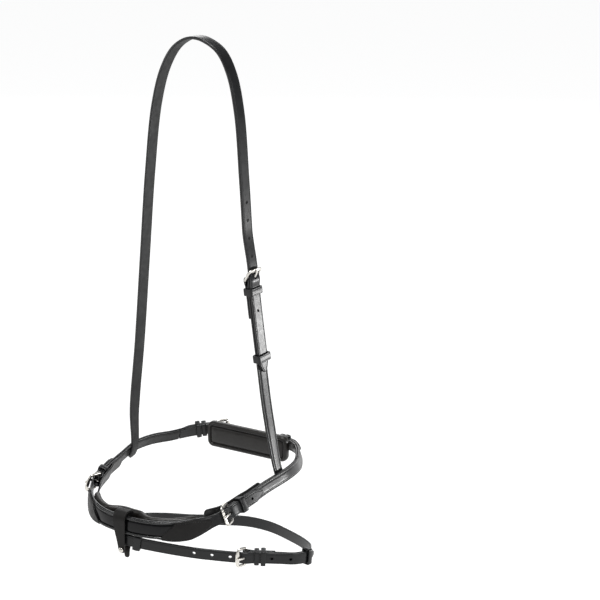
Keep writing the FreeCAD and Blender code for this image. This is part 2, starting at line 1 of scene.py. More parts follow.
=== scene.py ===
import bpy
import bmesh
import random
from bisect import bisect
from math import cos, pi, radians, sin, sqrt
from mathutils import Matrix, Vector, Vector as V


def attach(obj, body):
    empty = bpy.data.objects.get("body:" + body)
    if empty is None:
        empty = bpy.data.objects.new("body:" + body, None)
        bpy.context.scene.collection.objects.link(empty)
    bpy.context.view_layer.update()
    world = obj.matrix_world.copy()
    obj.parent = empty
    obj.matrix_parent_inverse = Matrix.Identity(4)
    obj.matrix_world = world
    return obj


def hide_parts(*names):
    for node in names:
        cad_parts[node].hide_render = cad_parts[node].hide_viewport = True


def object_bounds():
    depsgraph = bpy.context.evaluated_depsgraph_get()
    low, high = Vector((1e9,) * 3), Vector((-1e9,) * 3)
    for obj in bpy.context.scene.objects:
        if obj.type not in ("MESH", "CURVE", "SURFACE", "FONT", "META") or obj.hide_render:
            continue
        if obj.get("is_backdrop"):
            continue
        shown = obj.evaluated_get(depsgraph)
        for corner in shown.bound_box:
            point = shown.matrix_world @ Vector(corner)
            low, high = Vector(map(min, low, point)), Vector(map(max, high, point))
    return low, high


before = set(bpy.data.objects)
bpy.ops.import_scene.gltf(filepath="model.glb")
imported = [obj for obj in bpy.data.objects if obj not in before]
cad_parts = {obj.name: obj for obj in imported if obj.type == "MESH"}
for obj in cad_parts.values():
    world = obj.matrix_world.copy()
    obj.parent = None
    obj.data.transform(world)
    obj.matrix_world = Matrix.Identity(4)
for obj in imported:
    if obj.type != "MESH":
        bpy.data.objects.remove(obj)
CAD_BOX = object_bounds()
random.seed(7)

# Lengths below are in millimetres and are scaled to metres when a mesh is made.
MM = 0.001

# ---- driving sizes, as in the CAD
PLY = 2.4
GAP = 0.15
BILLET_EASE, BILLET_SETTLE, BILLET_HALF, POINT_REACH, PLY_CLOSE = 0.2, 9.0, 6.4, 13.0, 9.0
CROWN_DROP = 485.5
CROWN_WIDTH = 14.0
CROWN_THICK = 3.0
CHEEK_WIDTH = 15.0
SIDE_WIDTH = 13.0
FLASH_WIDTH = 12.5
FLASH_PLY = 2.2
HOLE_SPACING = 19.0
HOLE_RADIUS = 1.7
KEEPER_WALL = 1.5
SLOT_SPAN = (-5.5, 6.5)
NEAR, OFF = 1, -1
SIDES = ((NEAR, "near"), (OFF, "off"))

RING_HALF = [
    (0, -154, 0), (22, -152, 0), (38, -147, 0), (57, -135, 0.5), (72, -117, 2),
    (83, -95, 5), (91, -65, 6.5), (96, -30, 7), (100, 4, 7), (97, 35, 4),
    (88, 62, 0), (74.5, 84.5, 0), (57, 99.5, 1.5), (30, 105.5, 1.5), (0, 106.5, 1.5),
]
NEAR_SHIFT = {5: (0, 1.0), 6: (0, 4.0), 7: (0, 6.5), 8: (0, 7.0), 9: (-1.5, 6.0),
              10: (-3.0, 4.0), 11: (-2.0, 3.5), 12: (0, 1.0)}
ARCH_NEAR = [
    (97.6, 1, 6.5), (92.7, 0.3, 19.8), (85, 0, 58), (79, -2.5, 100), (74.5, -5, 146),
    (65, -8, 243), (58.5, -7, 341), (51.5, -4, 414), (41.8, -2, 453), (28, 0, 475),
    (11, 0, 485),
]
ARCH_OFF = [
    (96.7, -8, -0.4), (91.8, -8.3, 12.9), (90.5, -8, 58), (79.5, -8, 146), (69, -8, 243),
    (59, -7, 341), (50, -4, 414), (39, -2, 453), (26, 0, 475), (11, 0, 485),
]
ARCH_TOP, ARCH_TURN = 487.0, 11.0
ARCH_FOOT = {NEAR: 1.5, OFF: -4.0}
FLASH_LOOP = [
    (-5, -156.5, -17.5), (10, -152, -20), (38, -142, -24), (65, -132, -27), (84, -125, -28),
    (99, -116, -29), (112, -108, -30), (127, -98.8, -31), (144.5, -88.5, -32), (156.5, -79, -34),
    (162.5, -66, -36), (161, -52, -37), (150, -42, -38), (123, -28, -40), (92, -18, -41),
    (64, -18, -41.5), (38, -28, -41.5), (8, -43, -41.5), (-17, -56, -40), (-30, -72, -36),
    (-30, -90, -29.5), (-26, -106, -24), (-21, -126, -20), (-18, -141, -19.2),
    (-15.5, -150.5, -19), (-11, -155.5, -18.4),
]
SEAM = 39.0
PANEL_END = 90.0
SAFE_START, SAFE_END = 87.0, 172.0
FRONT_BAR, FRONT_KEEPER, FRONT_TIP = 115.0, 131.5, 164.0
REAR_TIP, REAR_SLIDER, REAR_KEEPER, REAR_BAR = 283.0, 306.5, 313.5, 328.0
CHEEK_BAR_Z, CROWN_TIP_Z, CHEEK_KEEPER_Z, CHEEK_SLIDER_Z = 238.0, 135.0, 225.5, 151.0
CROWN_HOLES_Z = [321, 302, 283, 264, 204]
FLASH_BAR, FLASH_TIP, FLASH_KEEPER, FLASH_SLIDER = 130.5, 206.0, 141.5, 148.5
FLASH_TIP_LOOP, FLASH_RUNNER = 196.0, 15.0
REAR_SHIFT = {NEAR: 26.0, OFF: 0.0}
JAW_PAD_MID_Y = 89.5
JAW_PAD_HALF, JAW_PAD_RADIUS = (54.25, 16.0), 8.0
JAW_PAD_CENTRE = (1.75, 1.5 - CROWN_DROP)
JAW_STRAP_HALF, JAW_STRAP_N = 6.2, -3.6
HANGER_THICK, HANGER_BACK, HANGER_SCREW_Z = 2.0, -8.8, -27.3
NOSE_PAD_THICK, NOSE_PAD_DIP = 8.5, 11.3
SIDE_BUCKLE = {"half": 9.8, "length": 14.5, "wire": 1.6, "tilt": 30}
CHEEK_BUCKLE = {"half": 9.4, "length": 13.0, "wire": 1.5, "tilt": 33}
FLASH_BUCKLE = {"half": 9.6, "length": 11.0, "wire": 1.5, "tilt": 33}
BAND_N = 1.8

# Stage, in metres and degrees
CAMERA_PLACE, CAMERA_TURN, CAMERA_PITCH = (0.8329, -1.3124, 0.2295), 28.5, 18.3
CAMERA_LENS, CAMERA_SENSOR = 90.0, 36.0
FLOOR_HALF, FLOOR_Z, WALL_HALF, WALL_TOP = 30.0, -0.80, 12.0, 9.0


# ---- routes
def smoothstep(a, b, x):
    t = min(1.0, max(0.0, (x - a) / (b - a)))
    return t * t * (3 - 2 * t)


def spline(points, closed, parts=24):
    """Centripetal Catmull-Rom curve through the points, as a fine polyline."""
    before, after = (points[-1:], points[:2]) if closed else (
        [points[0] * 2 - points[1]], [points[-1] * 2 - points[-2]])
    padded = before + points + after
    line = []
    for i in range(len(padded) - 3):
        p = padded[i:i + 4]
        t = [0.0]
        for a, b in zip(p, p[1:]):
            t.append(t[-1] + sqrt((b - a).length))
        for k in range(parts):
            x = t[1] + (t[2] - t[1]) * k / parts
            a = [p[j] * ((t[j + 1] - x) / (t[j + 1] - t[j]))
                 + p[j + 1] * ((x - t[j]) / (t[j + 1] - t[j])) for j in range(3)]
            b = [a[j] * ((t[j + 2] - x) / (t[j + 2] - t[j]))
                 + a[j + 1] * ((x - t[j]) / (t[j + 2] - t[j])) for j in range(2)]
            line.append(b[0] * ((t[2] - x) / (t[2] - t[1])) + b[1] * ((x - t[1]) / (t[2] - t[1])))
    line.append(points[0] if closed else points[-1])
    return line


class Route:
    """A strap's centreline: s runs along it, n out of the strap's face, w across it."""

    def __init__(self, points, closed, across):
        self.line = spline(points, closed)
        self.closed = closed
        self.across = across
        self.sums = [0.0]
        for a, b in zip(self.line, self.line[1:]):
            self.sums.append(self.sums[-1] + (b - a).length)
        self.length = self.sums[-1]

    def pos(self, s):
        if self.closed:
            s = s % self.length
        s = min(max(s, 0.0), self.length)
        i = min(bisect(self.sums, s), len(self.sums) - 1) - 1
        f = (s - self.sums[i]) / (self.sums[i + 1] - self.sums[i])
        return self.line[i] * (1 - f) + self.line[i + 1] * f

    def frame(self, s):
        along = (self.pos(s + 2) - self.pos(s - 2)).normalized()
        ref = self.across(s, along)
        width = (ref - along * along.dot(ref)).normalized()
        return along, width, along.cross(width)

    def at(self, s, n=0.0, w=0.0):
        _, width, out = self.frame(s)
        return self.pos(s) + out * n + width * w

    def station_at_height(self, z, start, stop, step=0.25):
        """The station from start back to stop that is nearest to a height."""
        stations = [start - step * k for k in range(int((start - stop) / step) + 1)]
        return min(stations, key=lambda s: abs(self.pos(s).z - z))


def ring_points():
    near, off = [], []
    for i, (x, y, z) in enumerate(RING_HALF):
        dx, dz = NEAR_SHIFT.get(i, (0, 0))
        near.append(V((x + dx, y, z + dz - CROWN_DROP)))
        off.append(V((-x, y, z - CROWN_DROP)))
    return near + off[-2:0:-1]


def half_station(s):
    s = s % ring.length
    return min(s, ring.length - s)


def ring_lean(s):
    h = half_station(s)
    return 4 + 16 * smoothstep(55, 115, h) * (1 - smoothstep(270, 335, h))


def ring_across(s, along):
    out = along.cross(V((0, 0, 1))).normalized()
    a = radians(ring_lean(s))
    return V((0, 0, 1)) * cos(a) - out * sin(a)


def side_station(side, s):
    return s if side == NEAR else ring.length - s


def arch_across(s, along):
    p = arch.pos(s)
    foot = ARCH_FOOT[NEAR if p.x > 0 else OFF]
    a = radians(foot + (ARCH_TURN - foot) * smoothstep(18, 75, p.z + CROWN_DROP))
    return V((sin(a), cos(a), 0))


ring = Route(ring_points(), True, ring_across)
arch_points = [V((-x, y, z - CROWN_DROP)) for x, y, z in ARCH_OFF]
arch_points.append(V((0, 0, ARCH_TOP - CROWN_DROP)))
arch_points += [V((x, y, z - CROWN_DROP)) for x, y, z in ARCH_NEAR[::-1]]
arch = Route(arch_points, False, arch_across)
flash = Route([V((x, y, z - CROWN_DROP)) for x, y, z in FLASH_LOOP], True,
              lambda s, along: V((0, 0, 1)))


def run(s0, s1, n0, n1=None, step=3.0):
    """Points from one station to another, easing from offset n0 to n1."""
    n1 = n0 if n1 is None else n1
    count = max(2, int(round(abs(s1 - s0) / step)))
    return [(s0 + (s1 - s0) * k / count, n0 + (n1 - n0) * smoothstep(0, 1, k / count))
            for k in range(count + 1)]


def fold(s, radius, heading):
    """Half turn round a bar at station s, from the inner face to the outer one."""
    return [(s + heading * radius * sin(pi * k / 14), -radius * cos(pi * k / 14))
            for k in range(1, 14)]


def pointed(tip, heading, half, reach=POINT_REACH):
    """Half width that narrows to a blunt point at the tip's station."""
    def width(s):
        left = max(0.0, (tip - s) * heading)
        return half * min(1.0, 0.16 + 0.84 * sqrt(max(0.0, min(1.0, left / reach))))
    return width


def tip_run(s0, tip, n, reach=POINT_REACH):
    """Stations of a strap that ends at a pointed tip, closer together near it."""
    heading = 1 if tip > s0 else -1
    start = tip - heading * reach
    return run(s0, start, n) + [(tip - heading * d, n)
                                for d in (11, 9, 7, 5.2, 3.8, 2.6, 1.7, 1, 0.5, 0.15, 0)
                                if d < reach - 0.5]


def rounded(s, s0, s1, half, radius):
    """Half width of a piece with rounded corners at both of its ends."""
    d = radius - max(0.0, min(s - s0, s1 - s))
    return half if d <= 0 else half - radius + sqrt(max(0.0, radius * radius - d * d))


def rounded_run(s0, s1, n, radius, step=3.0):
    """Stations that close up at both of a rounded piece's ends."""
    ends = [radius * (1 - cos(pi / 2 * k / 6)) for k in range(6)]
    inner = [s for s, _ in run(s0 + radius, s1 - radius, 0, step=step)]
    stations = [s0 + e for e in ends] + inner + [s1 - e for e in reversed(ends)]
    return [(s, n(s) if callable(n) else n) for s in stations]


def billet_offsets(ply, wire):
    """Offsets of a buckle's plies: round the bar, flat, and of the strap that passes over them."""
    leg = wire + 0.15 + ply / 2.0
    flat = ply / 2.0 + GAP / 2.0
    return leg, flat, leg + ply + GAP, flat + ply + GAP


def billet(start, n_start, toe, bar, tip, over, lie, drop, steps, reach=POINT_REACH):
    """Path of a strap's free end: up to the toe bar, over the heel bar and down to its tip."""
    heading = 1 if tip > bar else -1
    settled = bar + heading * BILLET_SETTLE
    path = run(start, toe, n_start, over - drop)
    path += run(toe, bar, over - drop, over, steps[0])[1:]
    path += run(bar, settled, over, lie, steps[1])[1:]
    return path + tip_run(settled, tip, lie, reach)[1:]


def chape(s_bar, heading, leg, flat, inner_end, outer_end):
    """Path of a ply that returns inside, turns round the bar and runs back outside."""
    close = s_bar - heading * PLY_CLOSE
    inner = run(inner_end, close, -flat) + run(close, s_bar - heading * 0.4, -flat, -leg, 1.4)[1:]
    outer = run(s_bar - heading * 0.4, close, leg, flat, 1.4) + run(close, outer_end, flat)[1:]
    return inner + fold(s_bar, leg, heading) + outer


# ---- mesh making
# Edge profiles of a strap: (distance from the edge, drop below the face)
PLAIN = [(0, 0.85), (0.1, 0.45), (0.35, 0.14), (0.8, 0.0)]
BACK = [(0, 0.75), (0.12, 0.3), (0.5, 0.0)]
CREASED = PLAIN + [(1.45, 0.0), (1.75, 0.34), (2.05, 0.0), (2.6, -0.03)]
RAISED = PLAIN + [(1.7, 0.0), (2.15, 0.5), (2.6, 0.46), (3.1, -0.16), (3.8, -0.34), (4.6, -0.4)]
DOUBLE = PLAIN + [(1.2, 0.0), (1.45, 0.3), (1.7, 0.02), (2.3, 0.02), (2.6, 0.36), (2.95, 0.0)]
KEEPER_FACE = [(0, 0.5), (0.12, 0.22), (0.4, 0.04), (0.9, 0.0), (1.15, 0.22), (1.4, 0.0)]
SAFE_FACE = [(0, 0.8), (0.15, 0.4), (0.5, 0.08), (1.0, 0.0), (1.7, 0.0), (2.0, 0.3), (2.3, 0.0)]
ROLLED = [(0, 1.75), (0.06, 1.1), (0.3, 0.5), (0.75, 0.14), (1.2, 0.0)]


def section(low, high, thick, face, back, crown):
    """Closed outline of a strap's cross section as (across, out), and its cut edges' sides."""
    half = (high - low) / 2.0
    mid = (high + low) / 2.0
    k = min(1.0, half / (face[-1][0] + 0.6))
    kb = min(1.0, half / (back[-1][0] + 0.6))
    top, bottom = thick / 2.0, -thick / 2.0
    points = [(low + d * k, top - h * min(1.0, k * 1.6)) for d, h in face]
    inner_low, inner_high = points[-1][0], high - face[-1][0] * k
    drop = points[-1][1]
    points += [(inner_low + (inner_high - inner_low) * f, drop) for f in (0.25, 0.5, 0.75)]
    points += [(high - d * k, top - h * min(1.0, k * 1.6)) for d, h in reversed(face)]
    if crown:
        points = [(w, n + crown * (1 - ((w - mid) / half) ** 2)) for w, n in points]
    first_edge = len(points) - 1
    points += [(high - d * kb, bottom + h) for d, h in back]
    points += [(low + d * kb, bottom + h) for d, h in reversed(back)]
    return points, (first_edge, len(points) - 1)


def linked(name, data):
    obj = bpy.data.objects.new(name, data)
    bpy.context.scene.collection.objects.link(obj)
    return obj


def evaluated_mesh(obj):
    """A copy of obj's mesh with its modifiers applied."""
    bpy.context.view_layer.update()
    graph = bpy.context.evaluated_depsgraph_get()
    return bpy.data.meshes.new_from_object(obj.evaluated_get(graph))


def make_object(name, verts, faces, materials, face_slots=None):
    mesh = bpy.data.meshes.new(name)
    mesh.from_pydata([v * MM for v in verts], [], faces)
    mesh.validate()
    for m in materials:
        mesh.materials.append(m)
    if face_slots:
        for polygon, index in zip(mesh.polygons, face_slots):
            polygon.material_index = index
    for polygon in mesh.polygons:
        polygon.use_smooth = True
    bm = bmesh.new()
    bm.from_mesh(mesh)
    bmesh.ops.recalc_face_normals(bm, faces=bm.faces)
    bm.to_mesh(mesh)
    bm.free()
    return linked(name, mesh)


def place(obj, body, slot, *nodes):
    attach(obj, body)
    if nodes:
        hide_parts(*nodes)
    return obj


def skin(rings, closed_path, edges=()):
    """Faces over a list of equal rings of points; the ring edges named in edges get slot 1."""
    count = len(rings[0])
    verts = [p for r in rings for p in r]
    faces, slots = [], []
    spans = len(rings) if closed_path else len(rings) - 1
    for i in range(spans):
        a, b = i * count, ((i + 1) % len(rings)) * count
        for j in range(count):
            k = (j + 1) % count
            faces.append((a + j, a + k, b + k, b + j))
            slots.append(1 if j in edges else 0)
    if not closed_path:
        for base, ring_pts in ((0, rings[0]), ((len(rings) - 1) * count, rings[-1])):
            centre = sum(ring_pts, V((0, 0, 0))) / count
            verts.append(centre)
            c = len(verts) - 1
            for j in range(count):
                faces.append((base + j, base + (j + 1) % count, c))
                slots.append(1 if edges else 0)
    return verts, faces, slots


def solid(name, rings, closed, materials, edges=()):
    verts, faces, slots = skin(rings, closed, edges)
    return make_object(name, verts, faces, materials, slots)


def weighted(obj):
    mod = obj.modifiers.new("normals", "WEIGHTED_NORMAL")
    mod.weight = 60
    mod.keep_sharp = True
    return obj


def value(v, s):
    return v(s) if callable(v) else v


def sweep(name, route, path, low, high, thick, face, materials, back=BACK, crown=0.0, bow=None,
          inner=None):
    """A strap along (station, offset) points with a shaped cross section and softened ends."""
    centres = [route.at(s, n) for s, n in path]
    rings, edges = [], ()
    last = len(path) - 1
    for i, (s, n) in enumerate(path):
        along = (centres[min(i + 1, last)] - centres[max(i - 1, 0)]).normalized()
        width = route.frame(s)[1]
        width = (width - along * along.dot(width)).normalized()
        out = along.cross(width)
        points, edges = section(value(low, s), value(high, s), value(thick, s), face, back,
                                value(crown, s))
        if bow:
            line = [route.at(s + bow(s, w), n + d, w) for w, d in points]
        else:
            line = [centres[i] + width * w + out * d for w, d in points]
        if i in (0, last):
            sign = -1 if i == 0 else 1
            mid_w = sum(w for w, _ in points) / len(points)
            soft = []
            for shrink, ahead in ((0.35, 0.3), (0.9, 0.42)):
                soft.append([p - (width * (w - mid_w)) * min(0.5, shrink / 5.0)
                             - out * d * min(0.6, shrink / 1.6) + along * sign * ahead
                             for p, (w, d) in zip(line, points)])
            rings += [soft[1], soft[0], line] if i == 0 else [line, soft[0], soft[1]]
        else:
            rings.append(line)
    verts, faces, slots = skin(rings, False, edges)
    if inner:
        count, column = len(rings[0]), edges[0] + len(back)
        sides = count * (len(rings) - 1)
        slots = [len(materials) if i < sides and i % count == column else k
                 for i, k in enumerate(slots)]
        materials = materials + [inner]
    return weighted(make_object(name, verts, faces, materials, slots))


def tube(centres, radii, sides=14, closed=False, flat=None, up=None):
    """Rings of a round or oval rod along centres; flat gives (across, up) factors."""
    rings, last = [], len(centres) - 1
    for i, c in enumerate(centres):
        if closed:
            along = (centres[(i + 1) % len(centres)] - centres[i - 1]).normalized()
        else:
            along = (centres[min(i + 1, last)] - centres[max(i - 1, 0)]).normalized()
        n = up if up is not None else V((0, 0, 1))
        n = (n - along * along.dot(n)).normalized()
        b = along.cross(n)
        r = radii[i] if hasattr(radii, "__len__") else radii
        fw, fh = flat(i) if flat else (1.0, 1.0)
        rings.append([c + b * (r * fw * cos(2 * pi * k / sides))
                      + n * (r * fh * sin(2 * pi * k / sides)) for k in range(sides)])
    return rings


def seat_matrix(route, s, n, heading):
    """Frame on a strap: x along it towards heading, y across, z out of its face."""
    along, _, out = route.frame(s)
    x = along * heading
    y = out.cross(x)
    c = route.at(s, n)
    return Matrix(((x.x, y.x, out.x, c.x), (x.y, y.y, out.y, c.y), (x.z, y.z, out.z, c.z),
                   (0, 0, 0, 1)))


def cut(obj, cutters):
    """Punches the cutters, as (seat, sides of a prism or 0 for a box, spans), through obj."""
    bm = bmesh.new()
    for m, sides, spans in cutters:
        if sides:
            made = bmesh.ops.create_cone(bm, cap_ends=True, segments=sides, radius1=1.0,
                                         radius2=1.0, depth=2.0)
        else:
            made = bmesh.ops.create_cube(bm, size=2.0)
        for v in made["verts"]:
            v.co = m @ V([(a + b) / 2 + c * (b - a) / 2 for c, (a, b) in zip(v.co, spans)]) * MM
    mesh = bpy.data.meshes.new("cutter")
    bm.to_mesh(mesh)
    bm.free()
    tool = linked("cutter", mesh)
    weights = obj.modifiers.get("normals")
    if weights:
        obj.modifiers.remove(weights)
    mod = obj.modifiers.new("cut", "BOOLEAN")
    mod.object = tool
    mod.operation = "DIFFERENCE"
    mod.solver = "EXACT"
    result, old = evaluated_mesh(obj), obj.data
    obj.modifiers.remove(mod)
    name = old.name
    obj.data = result
    bpy.data.meshes.remove(old)
    result.name = name
    bpy.data.objects.remove(tool)
    bpy.data.meshes.remove(mesh)
    return weighted(obj)


def round_cutter(m, radius, reach):
    return m, 20, ((-radius, radius), (-radius, radius), (-reach, reach))


def hole(route, s, n, reach=4.0, radius=HOLE_RADIUS):
    return round_cutter(seat_matrix(route, s, n, 1), radius, reach)


def oval(route, s, heading, size, low, high):
    """The worn hole through which the tongue comes out of a billet."""
    spans = ((0.6, size["length"] * 0.56), (-1.75, 1.75), (low, high))
    return seat_matrix(route, s, 0, heading), 28, spans


def slot_cut(route, s, heading, size, low, high):
    """The slot at a strap's fold that lets the tongue turn."""
    spans = ((-4.2, size["length"] * 0.78), (-1.9, 1.9), (low, high))
    return seat_matrix(route, s, 0, heading), 0, spans


def strap(name, route, path, low, high, thick, face, materials, cutters=(), body="noseband",
          slot="bridle_leather", **shape):
    """A sweep that stands for the CAD node of its own name."""
    made = sweep(name, route, path, low, high, thick, face, materials, **shape)
    return place(cut(made, cutters) if cutters else made, body, slot, name)


def stitches(name, lines, material, pitch, length, radius, slant=0.12):
    """Thread lying along lines of (point, outward normal), one short bead for each stitch."""
    verts, faces = [], []
    sides, steps = 6, 5
    for line in lines:
        sums = [0.0]
        for (a, _), (b, _) in zip(line, line[1:]):
            sums.append(sums[-1] + (b - a).length)
        total, i = sums[-1], 0
        count = max(1, int(total / pitch))
        for k in range(count):
            s = (k + 0.5) * total / count
            while i < len(sums) - 2 and sums[i + 1] < s:
                i += 1
            f = (s - sums[i]) / max(1e-6, sums[i + 1] - sums[i])
            (a, na), (b, nb) = line[i], line[i + 1]
            c, normal = a.lerp(b, f), na.lerp(nb, f).normalized()
            along = (b - a).normalized()
            side = normal.cross(along).normalized()
            along = (along + side * (slant + random.uniform(-0.05, 0.05))).normalized()
            side = normal.cross(along).normalized()
            base = len(verts)
            for j in range(steps):
                t = -1 + 2 * j / (steps - 1)
                r = radius * sqrt(max(0.0, 1 - (t * 0.93) ** 2))
                lift = radius * 0.55 * (1 - t * t) - 0.05
                for q in range(sides):
                    a2 = 2 * pi * q / sides
                    verts.append(c + along * (t * length / 2) + side * (r * cos(a2))
                                 + normal * (lift + r * sin(a2)))
            for j in range(steps - 1):
                for q in range(sides):
                    p = base + j * sides
                    faces.append((p + q, p + (q + 1) % sides, p + sides + (q + 1) % sides,
                                  p + sides + q))
            faces.append(tuple(base + q for q in range(sides)))
            faces.append(tuple(base + (steps - 1) * sides + q for q in reversed(range(sides))))
    return make_object(name, verts, faces, [material])


def sew(name, lines, thread, size, slot="bridle_leather"):
    """Stitching of (pitch, length, radius) that rides on the noseband."""
    return place(stitches(name, lines, thread, *size), "noseband", slot)


def line_on(route, s0, s1, n, w, step=3.0):
    """Points and normals of a seam along a route at offset n and width w."""
    count = max(2, int(abs(s1 - s0) / step))
    out = []
    for k in range(count + 1):
        s = s0 + (s1 - s0) * k / count
        out.append((route.at(s, value(n, s), value(w, s)), route.frame(s)[2]))
    return out


# ---- materials
def put(node, values):
    for socket, v in values.items():
        node.inputs[socket].default_value = v


def material(name, colour, rough, specular=0.5, metallic=0.0, coat=(0.0, 0.2), grain=None,
             wrinkle=None, mottle=0.25, spread=0.08):
    """A leather, thread or metal finish made of noise at the object's own scale.

    coat is (weight, roughness); grain and wrinkle are (strength, size in millimetres)."""
    mat = bpy.data.materials.new(name)
    mat.use_nodes = True
    nodes, links = mat.node_tree.nodes, mat.node_tree.links
    shader = nodes["Principled BSDF"]
    put(shader, {"Metallic": metallic, "Specular IOR Level": specular, "Coat Weight": coat[0],
                 "Coat Roughness": coat[1]})
    where = nodes.new("ShaderNodeTexCoord").outputs["Object"]

    def texture(kind, values):
        node = nodes.new(kind)
        put(node, values)
        links.new(where, node.inputs["Vector"])
        return node

    def noise(size, detail=3.0, roughness=0.55):
        return texture("ShaderNodeTexNoise", {"Scale": 1000.0 / size, "Detail": detail,
                                              "Roughness": roughness}).outputs["Fac"]

    ramp = nodes.new("ShaderNodeValToRGB")
    shades = ([c * (1 - mottle) for c in colour],
              [min(1.0, c * (1 + mottle * 1.4)) for c in colour])
    for stop, position, shade in zip(ramp.color_ramp.elements, (0.3, 0.7), shades):
        stop.position = position
        stop.color = (*shade, 1)
    links.new(noise(14.0), ramp.inputs["Fac"])
    links.new(ramp.outputs["Color"], shader.inputs["Base Color"])

    spreader = nodes.new("ShaderNodeMapRange")
    put(spreader, {"From Min": 0.3, "From Max": 0.7, "To Min": max(0.02, rough - spread),
                   "To Max": min(1.0, rough + spread)})
    links.new(noise(5.0, 4.0), spreader.inputs["Value"])
    links.new(spreader.outputs["Result"], shader.inputs["Roughness"])

    normal = None

    def bump(height, strength, distance):
        node = nodes.new("ShaderNodeBump")
        put(node, {"Strength": strength, "Distance": distance})
        links.new(height, node.inputs["Height"])
        if normal:
            links.new(normal, node.inputs["Normal"])
        return node.outputs["Normal"]

    if grain:
        cells = nodes.new("ShaderNodeTexVoronoi")
        cells.feature = "SMOOTH_F1"
        put(cells, {"Scale": 1000.0 / grain[1], "Smoothness": 0.6})
        links.new(where, cells.inputs["Vector"])
        normal = bump(cells.outputs["Distance"], grain[0], 0.00012)
    if wrinkle:
        normal = bump(noise(wrinkle[1], 5.0, 0.6), wrinkle[0], 0.0005)
    if normal:
        links.new(normal, shader.inputs["Normal"])
    return mat


LEATHER = material("black_bridle_leather", (0.005, 0.0054, 0.006), 0.3, specular=0.3,
                   coat=(0.08, 0.16), grain=(0.1, 0.7), wrinkle=(0.16, 7.0), spread=0.04)
# Strap edges and rolled edging: inked, glossier leather whose colour is set a little lighter than
# the face as a painted highlight along the edges.
EDGE = material("inked_strap_edge_painted_highlight", (0.008, 0.0082, 0.0085), 0.27, grain=(0.25, 0.35),
                wrinkle=(0.3, 2.0))
PATENT = material("glossy_panel_leather", (0.003, 0.003, 0.0034), 0.2, specular=0.16,
                  coat=(0.12, 0.1), grain=(0.12, 0.6), wrinkle=(0.2, 8.0), spread=0.03)
MATT = material("matt_leather", (0.0062, 0.0056, 0.0052), 0.46, specular=0.2, grain=(0.7, 0.7),
                wrinkle=(0.45, 4.0))
LINING = material("lining_leather", (0.0075, 0.0078, 0.0078), 0.42, specular=0.3,
                  grain=(0.4, 0.45), wrinkle=(0.35, 4.0))
FLESH = material("flesh_side_leather", (0.0125, 0.0128, 0.013), 0.55, specular=0.22,
                 grain=(0.5, 0.35), wrinkle=(0.25, 6.0))
SOFT = material("soft_pad_leather", (0.0095, 0.0084, 0.0074), 0.36, specular=0.36,
                grain=(0.5, 0.8), wrinkle=(0.5, 5.0), mottle=0.2)
THREAD = material("black_thread", (0.012, 0.012, 0.0125), 0.6, specular=0.3, mottle=0.3,
                  grain=(0.5, 0.25))
PALE_THREAD = material("grey_thread", (0.3, 0.3, 0.295), 0.65, specular=0.25, mottle=0.3,
                       grain=(0.5, 0.25))
NICKEL = material("brushed_nickel", (0.62, 0.60, 0.56), 0.25, metallic=1.0, mottle=0.1,
                  spread=0.07, grain=(0.15, 0.3), wrinkle=(0.12, 1.2))
STRAP = [LEATHER, EDGE]


# ---- hardware
def rounded_track(x_span, y_span, r, arc, straight):
    """Points round a rounded rectangle as (x, y, outward x, outward y).

    Each corner has arc steps, and the sides have straight[0] and straight[1] steps in turn."""
    (x0, x1), (y0, y1) = x_span, y_span
    corners = [(x1 - r, y1 - r), (x0 + r, y1 - r), (x0 + r, y0 + r), (x1 - r, y0 + r)]
    track = []
    for i, (x, y) in enumerate(corners):
        for k in range(arc + 1):
            a = radians(90.0 * i + 90.0 * k / arc)
            track.append((x + r * cos(a), y + r * sin(a), cos(a), sin(a)))
        end_x, end_y, out_x, out_y = track[-1]
        to_x, to_y = corners[(i + 1) % 4]
        for k in range(1, straight[i % 2]):
            f = k / straight[i % 2]
            track.append((end_x + (to_x + r * out_x - end_x) * f,
                          end_y + (to_y + r * out_y - end_y) * f, out_x, out_y))
    return track


def loop(name, m, width, low, high, length, body="noseband"):
    """A leather keeper round a stack of straps that reaches from low to high."""
    across, wall = (width + KEEPER_WALL) / 2.0, KEEPER_WALL / 2.0
    points, edges = section(-length / 2.0, length / 2.0, KEEPER_WALL, KEEPER_FACE,
                            [(0, 0.4), (0.3, 0.0)], 0.12)
    track = rounded_track((-across, across), (low - wall, high + wall), 1.3, 6, (5, 5))
    rings = [[m @ V((x, y + oy * d, z + oz * d)) for x, d in points] for y, z, oy, oz in track]
    place(weighted(solid(name, rings, True, STRAP, edges)), body, "bridle_leather", name)


def buckle(prefix, m, size, body="noseband"):
    buckle_frame(prefix + "_buckle_frame", m, size, body)
    buckle_tongue(prefix + "_buckle_tongue", m, size, prefix + "_tongue")


def buckle_frame(name, m, size, body):
    """A flat-barred buckle frame with a curved toe bar, tilted up from its heel bar."""
    half, length = size["half"], size["length"]
    centres, shape = [], []
    for x, y, _, _ in rounded_track((0, length), (-half, half), 2.9, 8, (5, 5)):
        toe = smoothstep(length * 0.45, length * 0.95, x)
        flat = toe * (1 - smoothstep(half - 4.5, half - 2.0, abs(y)))
        shape.append((1.15 + 0.75 * flat, 0.95 - 0.2 * flat))
        centres.append(V((x, y, 0.9 * toe * (1 - (y / half) ** 2))))
    turned = m @ Matrix.Rotation(-radians(size["tilt"]), 4, "Y")
    rings = tube(centres, size["wire"] * 0.98, 16, True, lambda i: shape[i])
    rings = [[turned @ p for p in r] for r in rings]
    place(solid(name, rings, True, [NICKEL]), body, "nickel", name)


